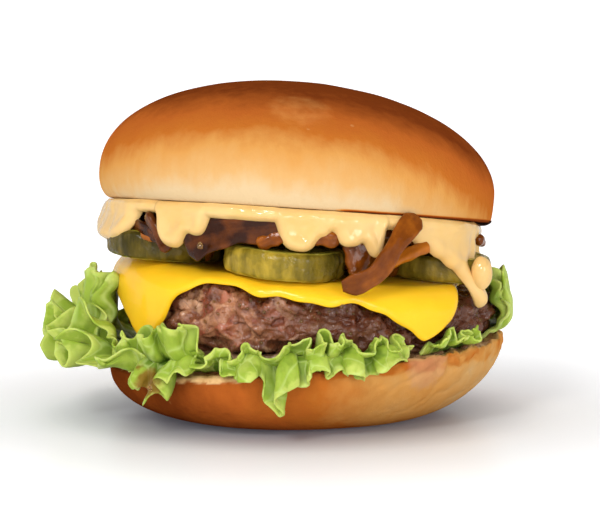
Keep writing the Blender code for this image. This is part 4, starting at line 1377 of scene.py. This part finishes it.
def sauce_mesh():
    thick = settings("filling").sauce / MM
    around = 1100
    t = circle(around)
    angle = t - 0.5 * cos(t)
    side, up = cos(angle), sin(angle)
    edge = sauce_radius(angle, 60.0)
    rim_z = crown_cut(edge * side, edge * up)
    hang = sauce_length(angle)
    ring = stack(edge * side, edge * up, 0 * side)
    ragged = 0.8 * wobble(ring, 5.5, 7.0, 1)
    soft = np.exp(-0.5 * (np.arange(-9, 10) / 3.0) ** 2)
    hang = np.convolve(np.pad(hang + ragged, 9, mode="wrap"), soft / soft.sum(), mode="valid")
    floor_z = rim_z - sauce_slab(edge * up) + 0.4
    tip_z = np.minimum(rim_z - hang, floor_z - 0.6)
    tip_r = sauce_radius(angle, tip_z)
    tip_line = stack(tip_r * side, tip_r * up, tip_z)
    parts = 10
    tips = KDTree(parts * around)
    for part in range(parts):
        for spot in blend(tip_line, np.roll(tip_line, -1, axis=0), part / parts):
            tips.insert(spot, 0)
    tips.balance()
    rows = []
    for share_out in (0.03, 0.3, 0.6, 0.8, 0.9):
        r = share_out * (edge - thick)
        rows.append(stack(r * side, r * up, crown_cut(r * side, r * up) - sauce_slab(r * up) + 0.7))
    for down in np.linspace(0.0, 1.0, 12):
        z = blend(floor_z, tip_z + 0.25, down)
        r = sauce_radius(angle, z) - thick
        rows.append(stack(r * side, r * up, z))
    levels = 44
    for k in range(levels):
        rise = (k + 0.4) / levels
        z = blend(tip_z, rim_z - 0.08, rise**1.25)
        r = sauce_radius(angle, z)
        far = np.array([tips.find(p)[2] for p in stack(r * side, r * up, z)])
        bead = np.sqrt(1.0 - (1.0 - np.clip(far / 2.1, 0.0, 1.0)) ** 2)
        swell = 0.7 * hump(far, 2.4, 1.8) * ease(5.0, 11.0, hang)
        roll = 0.7 * hump(rim_z - z, 2.4, 1.6)
        lip = 0.8 * ease(1.2, 0.1, rim_z - z)
        r = r - thick + thick * bead + swell + roll * 0.8 - lip
        spots = stack(r * side, r * up, z)
        r = r + 0.45 * wobble(spots, 6.0, 3.0, 1) + 0.24 * wobble(spots, 3.0, 5.0, 1)
        rows.append(stack(r * side, r * up, z))
    for share_out in (0.955, 0.9, 0.7, 0.4, 0.03):
        r = share_out * (edge - 0.8)
        rows.append(stack(r * side, r * up, crown_cut(r * side, r * up) - 0.08))
    return wrapped("sauce", rows, tidy=True)


# The lettuce, a piece of one or two layers for each name. Angles run along the frilly edge. A layer leaves
# the burger at its bend radius, lifted over the lower bun, and bends up by a positive angle. It is longest at
# its peak, from 0 to 1 along the edge. Each tip is a place, a share of extra length and a width.

Leaf = namedtuple("Leaf", "first last bend_radius tuck length lift bend frills depth phase peak tips")
FRONT_TIPS = (((0.33, 0.95, 0.055), (0.7, 0.3, 0.06)), ((0.55, 0.3, 0.05), (0.93, -0.32, 0.06)))
LEAVES = {
    "lettuce_left_upper": (
        Leaf(150, 202, 50.0, 5.0, 21.8, 4.6, 86.0, 4.5, 3.3, 0.4, 0.86, ((0.9, 0.22, 0.07),)),
    ),
    "lettuce_left_middle": (
        Leaf(156, 213, 50.5, 6.0, 19.6, 3.0, 40.0, 4.5, 4.6, 1.9, 0.5, ((0.42, 0.1, 0.06),)),
    ),
    "lettuce_left_lower": (
        Leaf(170, 225, 51.0, 5.0, 17.4, 2.0, 14.0, 4.0, 4.0, 3.1, 0.45, ()),
    ),
    "lettuce_left_front": (
        Leaf(217, 243, 54.0, 5.0, 9.0, 3.0, -58.0, 2.2, 3.0, 2.4, 0.55, ((0.56, 0.5, 0.12),)),
        Leaf(212, 244, 53.0, 4.0, 10.5, 3.4, 66.0, 3.2, 2.8, 0.9, 0.7, ((0.8, 0.3, 0.12),)),
    ),
    "lettuce_front": (
        Leaf(249, 303, 54.6, 5.0, 8.4, 3.2, -58.0, 5.6, 2.6, 2.2, 0.4, FRONT_TIPS[0]),
        Leaf(241, 305, 53.4, 4.0, 6.2, 2.8, 44.0, 7.4, 2.9, 0.7, 0.5, FRONT_TIPS[1]),
    ),
    "lettuce_right_front": (
        Leaf(310, 332, 55.0, 3.0, 4.6, 2.4, 30.0, 3.5, 2.0, 2.2, 0.5, ()),
    ),
    "lettuce_right": (
        Leaf(345, 372, 56.0, 3.0, 17.5, 2.0, 104.0, 3.2, 2.6, 5.2, 0.35, ()),
    ),
    "lettuce_back": (
        Leaf(40, 138, 55.0, 6.0, 7.4, 3.4, -22.0, 10.0, 3.6, 0.2, 0.5, ()),
    ),
}
LEAF_BEND_SHARE = 0.36


def leaf_middle(leaf, s, t):
    """The middle of a leaf: s runs along its frilly edge and t from its hidden inner edge outwards."""
    frill = settings("lettuce").frill
    bend = radians(leaf.bend)
    spread = radians(leaf.last - leaf.first) * (leaf.bend_radius + 0.5 * leaf.length)
    wavelength = spread / leaf.frills
    uneven_pace = 0.2 * leaf.frills * sin(2.6 * pi * s + leaf.phase)
    uneven_pace = uneven_pace + 0.11 * leaf.frills * sin(6.2 * pi * s + 2.3 * leaf.phase)
    wave = 2 * pi * leaf.frills * s + leaf.phase + uneven_pace
    swell = 0.8 + 0.25 * sin(4.4 * pi * s + 1.7 * leaf.phase)
    swell = swell + 0.3 * sin(11.0 * pi * s + leaf.phase)
    ends = ease(-0.05, 0.13, s) * ease(1.05, 0.87, s)
    reach = 1.0 - 0.3 * np.minimum(1.0, np.abs(s - leaf.peak) / 0.6) ** 2 + 0.08 * cos(wave)
    reach = reach + 0.14 * sin(15.0 * pi * s + 3.0 * leaf.phase)
    for place, extra, width in leaf.tips:
        reach = reach + extra * hump(s, place, width)
    nicks = np.abs(sin(1.5 * wave + 0.8 * sin(3.1 * wave))) * 0.6 * ease(0.8, 1.0, t)
    travel = t * (leaf.tuck + leaf.length * reach * blend(0.5, 1.0, ends)) - leaf.tuck - nicks * frill
    arc = LEAF_BEND_SHARE * leaf.length
    turned_by = bend * np.clip(travel / arc, 0.0, 1.0)
    straight = np.maximum(0.0, travel - arc)
    along = np.minimum(0.0, travel) + arc / bend * sin(turned_by) + straight * cos(turned_by)
    climb = arc / bend * (1.0 - cos(turned_by)) + straight * sin(turned_by)
    grow = ease(-0.8 * leaf.tuck, 0.7 * leaf.length, travel) * blend(0.65, 1.0, ends)
    late = ease(0.35 * leaf.length, 0.95 * leaf.length, travel) * frill
    ruffle = leaf.depth * swell * grow * sin(wave)
    ruffle = ruffle + 0.34 * leaf.depth * late * sin(2.37 * wave + 1.3)
    ruffle = ruffle + 0.10 * leaf.depth * late**2 * sin(5.3 * wave)
    beside = np.maximum(ease(0.72, 1.0, s), ease(0.28, 0.0, s))
    beside = beside * ease(0.0, 0.3 * leaf.length, travel)
    side_wave = 2 * pi * travel / (0.8 * wavelength) + leaf.phase
    ruffle = ruffle + 0.5 * leaf.depth * beside * sin(side_wave)
    fold = -0.13 * wavelength * grow * swell * sin(2.0 * wave)
    fold = fold - 0.05 * wavelength * late * sin(4.74 * wave + 2.6)
    angle = radians(blend(leaf.first, leaf.last, s)) + fold / (leaf.bend_radius + along)
    radius = leaf.bend_radius + along - ruffle * sin(turned_by)
    x, y = radius * cos(angle), radius * sin(angle)
    tucked = leaf.bend_radius - leaf.tuck
    low = heel_face(tucked * cos(angle), tucked * sin(angle))
    lift = leaf.lift * ease(-leaf.tuck, 0.0, travel) + 0.6
    return stack(x, y, np.maximum(low, heel_face(x, y)) + lift + climb + ruffle * cos(turned_by))


def leaf_mesh(leaf):
    thick = settings("lettuce").thickness / MM
    columns, rows = int(leaf.frills * 35), 31
    s, t = np.meshgrid(np.linspace(0.0, 1.0, columns), np.linspace(0.0, 1.0, rows) ** 0.8)
    centre = leaf_middle(leaf, s, t)
    along = np.gradient(centre, axis=1)
    out = np.gradient(centre, axis=0)
    normal = np.cross(out, along)
    normal /= np.linalg.norm(normal, axis=-1, keepdims=True) + 1e-12
    half = 0.5 * thick * blend(1.5, 0.75, t) * (1.0 - 0.5 * ease(0.97, 1.0, t))
    puckers = 0.2 * wobble(centre, 3.2, 1.0, 2)
    drift = stack(*(wobble(centre, 12.0, seed + leaf.phase, 1) for seed in (2.0, 5.0, 8.0)))
    drift = drift * (1.6, 1.6, 1.9) * (ease(0.2, 1.0, t) * settings("lettuce").frill)[..., None]
    centre = centre + normal * puckers[..., None] + drift
    top = (centre + normal * half[..., None]).reshape(-1, 3)
    base = (centre - normal * half[..., None]).reshape(-1, 3)
    layer = rows * columns
    quads, rim = sheet(rows, columns)
    faces = quads.tolist() + (quads[:, ::-1] + layer).tolist()
    faces += [(b, a, layer + a, layer + b) for a, b in zip(rim, rim[1:] + rim[:1])]
    mesh = solid("layer", np.vstack([top, base]), faces, tidy=True)
    spread = radians(leaf.last - leaf.first) * leaf.bend_radius
    margin = np.maximum(t, 1.0 - np.minimum(s, 1.0 - s) * spread / leaf.length)
    paint(mesh, "out", np.tile(margin.ravel(), 2))
    paint(mesh, "along", np.tile((s * leaf.frills).ravel(), 2))
    # Painted shade for the material: how far each point lies in a hollow of the frills.
    height = np.hypot(centre[..., 0], centre[..., 1]) + 0.3 * centre[..., 2]
    window = int(columns / leaf.frills)
    padded = np.pad(height, ((0, 0), (window, window)), mode="edge")
    even = np.ones(window) / window
    level = np.array([np.convolve(row, even, mode="same")[window:-window] for row in padded])
    hollow = ease(0.0, 0.55 * leaf.depth, level - height) * ease(1.0, 0.8, t)
    paint(mesh, "hollow", np.tile(hollow.ravel(), 2))
    return mesh


# Small bits

# Hanging drops of juice: x, y, z and radius of each
DROPS = ((-24.4, -49.4, 51.4, 0.7), (-37.6, -51.5, 14.2, 0.6), (12.5, -52.9, 36.0, 0.6))
SAUCE_BLOB = (50.6, -29.0, 41.9)
SAUCE_BLOB_SIZE = (2.9, 2.6, 4.6)


def sauce_blob_mesh():
    """The blob of sauce that hangs behind the long drip on the right."""
    swing, angle = np.meshgrid(np.linspace(-1.5, 1.5, 40), circle(60), indexing="ij")
    ball = stack(cos(swing) * cos(angle), cos(swing) * sin(angle), sin(swing))
    uneven = 1.0 + 0.12 * wobble(ball, 0.9, 6.0, 1)
    return wrapped("blob", ball * uneven[..., None] * SAUCE_BLOB_SIZE + SAUCE_BLOB)


def drops_mesh():
    """The hanging drops, wider below than above."""
    angle = circle(28)
    drops = []
    for x, y, z, radius in DROPS:
        rows = []
        for swing in np.linspace(-1.45, 1.45, 20):
            reach = radius * cos(swing) * (1.0 - 0.3 * sin(swing))
            height = z + 1.35 * radius * sin(swing)
            rows.append(stack(x + reach * cos(angle), y + reach * sin(angle), height))
        drops.append(wrapped("drop", rows))
    return joined("drops", drops)


def juicy_material():
    """Crumbs of meat and bread soaked in juice."""
    mat, _, shader, place = new_material("soaked crumbs", 0.35, Coat_Weight=0.2, Coat_Roughness=0.1)
    base = mixed(mottle(place, 3.0, 1.3, seed=2.0), srgb(186, 150, 112), srgb(118, 72, 48))
    set_colour(shader, base)
    set_bump(shader, place, 0.7, 0.15, 0.6)
    return mat


def bed_mesh(mat):
    """The crumbly layer that the patty sits in."""
    angle = circle(300)
    radius = 47.5 + 0.8 * sin(9 * angle) + 0.6 * sin(23 * angle + 1.0)
    radius = radius - 4.0 * ease(0.5, 0.9, cos(angle - radians(180)))
    rows = []
    for kind, value in low_rim_high((0.05, 0.97, 8), 6, (0.97, 0.05, 8)):
        reach = radius * (value if kind != "rim" else 0.985 + 0.015 * sin(pi * value))
        x, y = PATTY_CENTRE_X * 0.5 + reach * cos(angle), reach * sin(angle)
        low, high = heel_face(x, y) + 0.1, patty_base(x) + 0.6
        rows.append(stack(x, y, {"low": low, "high": high, "rim": blend(low, high, value)}[kind]))
    return relief(wrapped("bed", rows), mat, (5, 0.4), (2.4, 1.0), (2, 0.4), seed=4.0)


# The stage

FLOOR_RADIUS = 1400.0
BACKDROP_RISE = 900.0
SHADOW_REACH = 0.042, 0.078
GLOW_REACH = 0.04, 0.19
CAMERA_X = 0.0017


def floor_mesh():
    """A round floor that curves up into a backdrop."""
    angle = circle(96)
    around = len(angle)
    plan = [(20.0, 0.0), (300.0, 0.0), (FLOOR_RADIUS, 0.0)]
    for swing in np.linspace(0.1, pi / 2, 14):
        plan.append((FLOOR_RADIUS + BACKDROP_RISE * sin(swing), BACKDROP_RISE * (1 - cos(swing))))
    rows = [stack(r * cos(angle), r * sin(angle), z) for r, z in plan]
    points = np.vstack([np.zeros((1, 3)), *rows])
    here = np.arange(around)
    after = (here + 1) % around
    faces = [(0, 1 + a, 1 + b) for a, b in zip(here.tolist(), after.tolist())]
    for low in range(1, 1 + around * (len(rows) - 1), around):
        high = low + around
        faces += np.stack([low + here, high + here, high + after, low + after], axis=1).tolist()
    return solid("floor", points, faces)


def floor_material(stage):
    """Pale floor with a painted shadow, greyer near the burger. Its own light isn't seen in reflections."""
    mat, tree, shader, place = new_material("floor", 0.3, Specular_IOR_Level=0.1)
    away = vector_sum("LENGTH", place)
    glow = mixed(mapped(away, *GLOW_REACH), (0.04, 0.04, 0.05), (0.52, 0.52, 0.53))
    mirrored = node(tree, "ShaderNodeLightPath").outputs["Is Glossy Ray"]
    tree.links.new(minus(1.0, mirrored), shader.inputs["Emission Strength"])
    tree.links.new(glow, shader.inputs["Emission Color"])
    # Painted shadow: the floor is greyer near the burger.
    set_colour(shader, mixed(mapped(away, *SHADOW_REACH), srgb(176, 182, 186), tuple(stage.floor)))
    return mat


# Operators, one for each piece or group of like pieces


class BurgerStep(bpy.types.Operator):
    """A step in building the burger"""

    bl_options = {"REGISTER", "UNDO"}


class BURGER_OT_heel(BurgerStep):
    """Bake the lower half of the bun"""

    bl_idname = "burger.heel"
    bl_label = "Lower Bun"

    def execute(self, context):
        crust, crumb = once(crust_material), once(crumb_material)
        heel = heel_mesh(crust, crumb)
        serve(heel, "bun_heel", (), ["heel_bun"])
        soaked = once(juicy_material)
        serve(bed_mesh(soaked), "soaked_bed", ())
        x, y, z = spots_of(heel).T
        radius = np.hypot(x - HEEL_CENTRE_X, y)
        where = (radius > 42.0) * (radius < 52.5) * (z > heel_face(x, y) - 1.2)
        where = where * ease(-0.3, 0.5, sin(x / 3))
        crumbs = strewn(heel, soaked, where, 1.6e5, 0.5, 1.5, 0.75, 1.0, settings("stage").seed)
        serve(crumbs, "soaked_crumbs", ())
        return {"FINISHED"}


class BURGER_OT_patty(BurgerStep):
    """Fry the patty"""

    bl_idname = "burger.patty"
    bl_label = "Patty"

    def execute(self, context):
        mesh = patty_mesh(once(meat_material))
        serve(mesh, "beef_patty", (), ["patty"])
        juice = once(clear_material)
        x, y, z = spots_of(mesh).T
        wet = (np.hypot(x - PATTY_CENTRE_X, y) > 46.0) * (z > 24.0) * (0.25 + ease(30.0, 36.0, z))
        beads = strewn(mesh, juice, wet, 1.2e5, 0.15, 0.6, 0.8, 0.9, settings("stage").seed)
        serve(beads, "fat_beads", ())
        return {"FINISHED"}


class BURGER_OT_cheese(BurgerStep):
    """Melt the cheese over the patty"""

    bl_idname = "burger.cheese"
    bl_label = "Cheese"

    def execute(self, context):
        serve(cheese_mesh(), "melted_cheese", [once(cheese_material)], ["cheese_slice"])
        return {"FINISHED"}


class BURGER_OT_pickles(BurgerStep):
    """Lay the pickle slices"""

    bl_idname = "burger.pickles"
    bl_label = "Pickles"

    def execute(self, context):
        for name in PICKLES:
            mat = once(pickle_material)
            serve(pickle_mesh(name, mat), name.replace("pickle", "pickle_slice"), (), [name])
        return {"FINISHED"}


class BURGER_OT_onions(BurgerStep):
    """Heap the fried onions"""

    bl_idname = "burger.onions"
    bl_label = "Onions"

    def execute(self, context):
        mat = once(onion_material)
        serve(onions_mesh(), "fried_onions", [mat], ["onions"])
        long_strip = strip_mesh(LONG_STRIP, 6.2, 2.2, 0.6, 0.7, 0.52, 4.2, 90, 32)
        serve(long_strip, "hanging_onion_strip", [mat], ["onion_long_strip"])
        serve(drops_mesh(), "juice_drops", [once(clear_material)])
        return {"FINISHED"}


class BURGER_OT_sauce(BurgerStep):
    """Pour the sauce"""

    bl_idname = "burger.sauce"
    bl_label = "Sauce"

    def execute(self, context):
        mat = once(sauce_material)
        serve(sauce_mesh(), "burger_sauce", [mat], ["sauce"])
        serve(sauce_blob_mesh(), "sauce_blob", [mat])
        return {"FINISHED"}


class BURGER_OT_crown(BurgerStep):
    """Put on the upper half of the bun"""

    bl_idname = "burger.crown"
    bl_label = "Upper Bun"

    def execute(self, context):
        crust, crumb = once(crust_material), once(crumb_material)
        serve(crown_mesh(crust, crumb), "bun_crown", (), ["crown_bun"])
        burnt, _, shader, _ = new_material("burnt crust", 0.6)
        shader.inputs["Base Color"].default_value = (*srgb(58, 34, 24), 1.0)
        serve(burnt_flap_mesh(), "burnt_flap", [burnt])
        return {"FINISHED"}


class BURGER_OT_lettuce(BurgerStep):
    """Tuck in the lettuce leaves"""

    bl_idname = "burger.lettuce"
    bl_label = "Lettuce"

    def execute(self, context):
        mat = once(lettuce_material)
        for name in LEAVES:
            mesh = joined(name, [leaf_mesh(layer) for layer in LEAVES[name]])
            serve(mesh, name.replace("lettuce", "leaf"), [mat], [name])
        return {"FINISHED"}


class BURGER_OT_stage(BurgerStep):
    """Set the pale floor, the soft lights and the camera"""

    bl_idname = "burger.stage"
    bl_label = "Stage"

    def execute(self, context):
        stage = settings("stage")
        floor = bpy.data.objects.new("floor", floor_mesh())
        context.scene.collection.objects.link(floor)
        floor.data.materials.append(floor_material(stage))
        world = context.scene.world or bpy.data.worlds.new("studio")
        context.scene.world = world
        world.use_nodes = True
        air = world.node_tree
        sky = air.nodes["Background"]
        sky.inputs["Color"].default_value = (1.0, 1.0, 1.0, 1.0)
        mirrored = node(air, "ShaderNodeLightPath").outputs["Is Glossy Ray"]
        air.links.new(mapped(mirrored, 0.0, 1.0, stage.sky, 0.1, "LINEAR"), sky.inputs["Strength"])
        for name, spot, size, watts in (
            ("key", (-0.30, -0.76, 0.56), 0.2, stage.key),
            ("fill", (0.34, -0.86, 0.20), 0.3, stage.fill),
            ("back", (0.1, 0.7, 0.8), 0.6, 0.8),
            ("spark", (-0.16, -0.9, 0.32), 0.04, 0.85),
        ):
            lamp = bpy.data.lights.new(name, "AREA")
            lamp.energy = watts
            lamp.size = size
            light = bpy.data.objects.new(name, lamp)
            light.location = spot
            aim = Vector((0.0, 0.0, 0.05)) - Vector(spot)
            light.rotation_euler = aim.to_track_quat("-Z", "Y").to_euler()
            context.scene.collection.objects.link(light)
        lens = bpy.data.cameras.new("camera")
        lens.lens = stage.lens
        lens.clip_start, lens.clip_end = 0.01, 20.0
        camera = bpy.data.objects.new("camera", lens)
        back = Vector((0.0, -cos(stage.elevation), sin(stage.elevation)))
        camera.location = Vector((CAMERA_X, 0.0, stage.aim)) + back * stage.distance
        camera.rotation_euler = (-back).to_track_quat("-Z", "Y").to_euler()
        context.scene.collection.objects.link(camera)
        context.scene.camera = camera
        context.scene.view_settings.view_transform = "Standard"
        context.scene.view_settings.look = "None"
        return {"FINISHED"}


STEPS = (
    BURGER_OT_heel,
    BURGER_OT_lettuce,
    BURGER_OT_patty,
    BURGER_OT_cheese,
    BURGER_OT_pickles,
    BURGER_OT_onions,
    BURGER_OT_sauce,
    BURGER_OT_crown,
    BURGER_OT_stage,
)


class BURGER_PT_panel(bpy.types.Panel):
    """Steps of the burger with their settings"""

    bl_idname = "BURGER_PT_panel"
    bl_label = "Cheeseburger"
    bl_space_type = "VIEW_3D"
    bl_region_type = "UI"
    bl_category = "Burger"

    def draw(self, context):
        for step in STEPS:
            self.layout.operator(step.bl_idname)
        for name in GROUPS:
            group = settings(name)
            box = self.layout.box()
            box.label(text=name.capitalize())
            for key in group.bl_rna.properties.keys():
                if key not in ("rna_type", "name"):
                    box.prop(group, key)


GROUPS = {"bun": BunSettings, "filling": FillingSettings, "lettuce": LettuceSettings, "stage": StageSettings}


def register():
    for kind in (*GROUPS.values(), *STEPS, BURGER_PT_panel):
        bpy.utils.register_class(kind)
    for name, kind in GROUPS.items():
        setattr(bpy.types.Scene, "burger_" + name, PointerProperty(type=kind))


def unregister():
    for name in GROUPS:
        delattr(bpy.types.Scene, "burger_" + name)
    for kind in (BURGER_PT_panel, *reversed(STEPS), *GROUPS.values()):
        bpy.utils.unregister_class(kind)


def main():
    register()
    for step in STEPS:
        getattr(bpy.ops.burger, step.bl_idname.split(".")[1])()


if __name__ == "__main__":
    main()
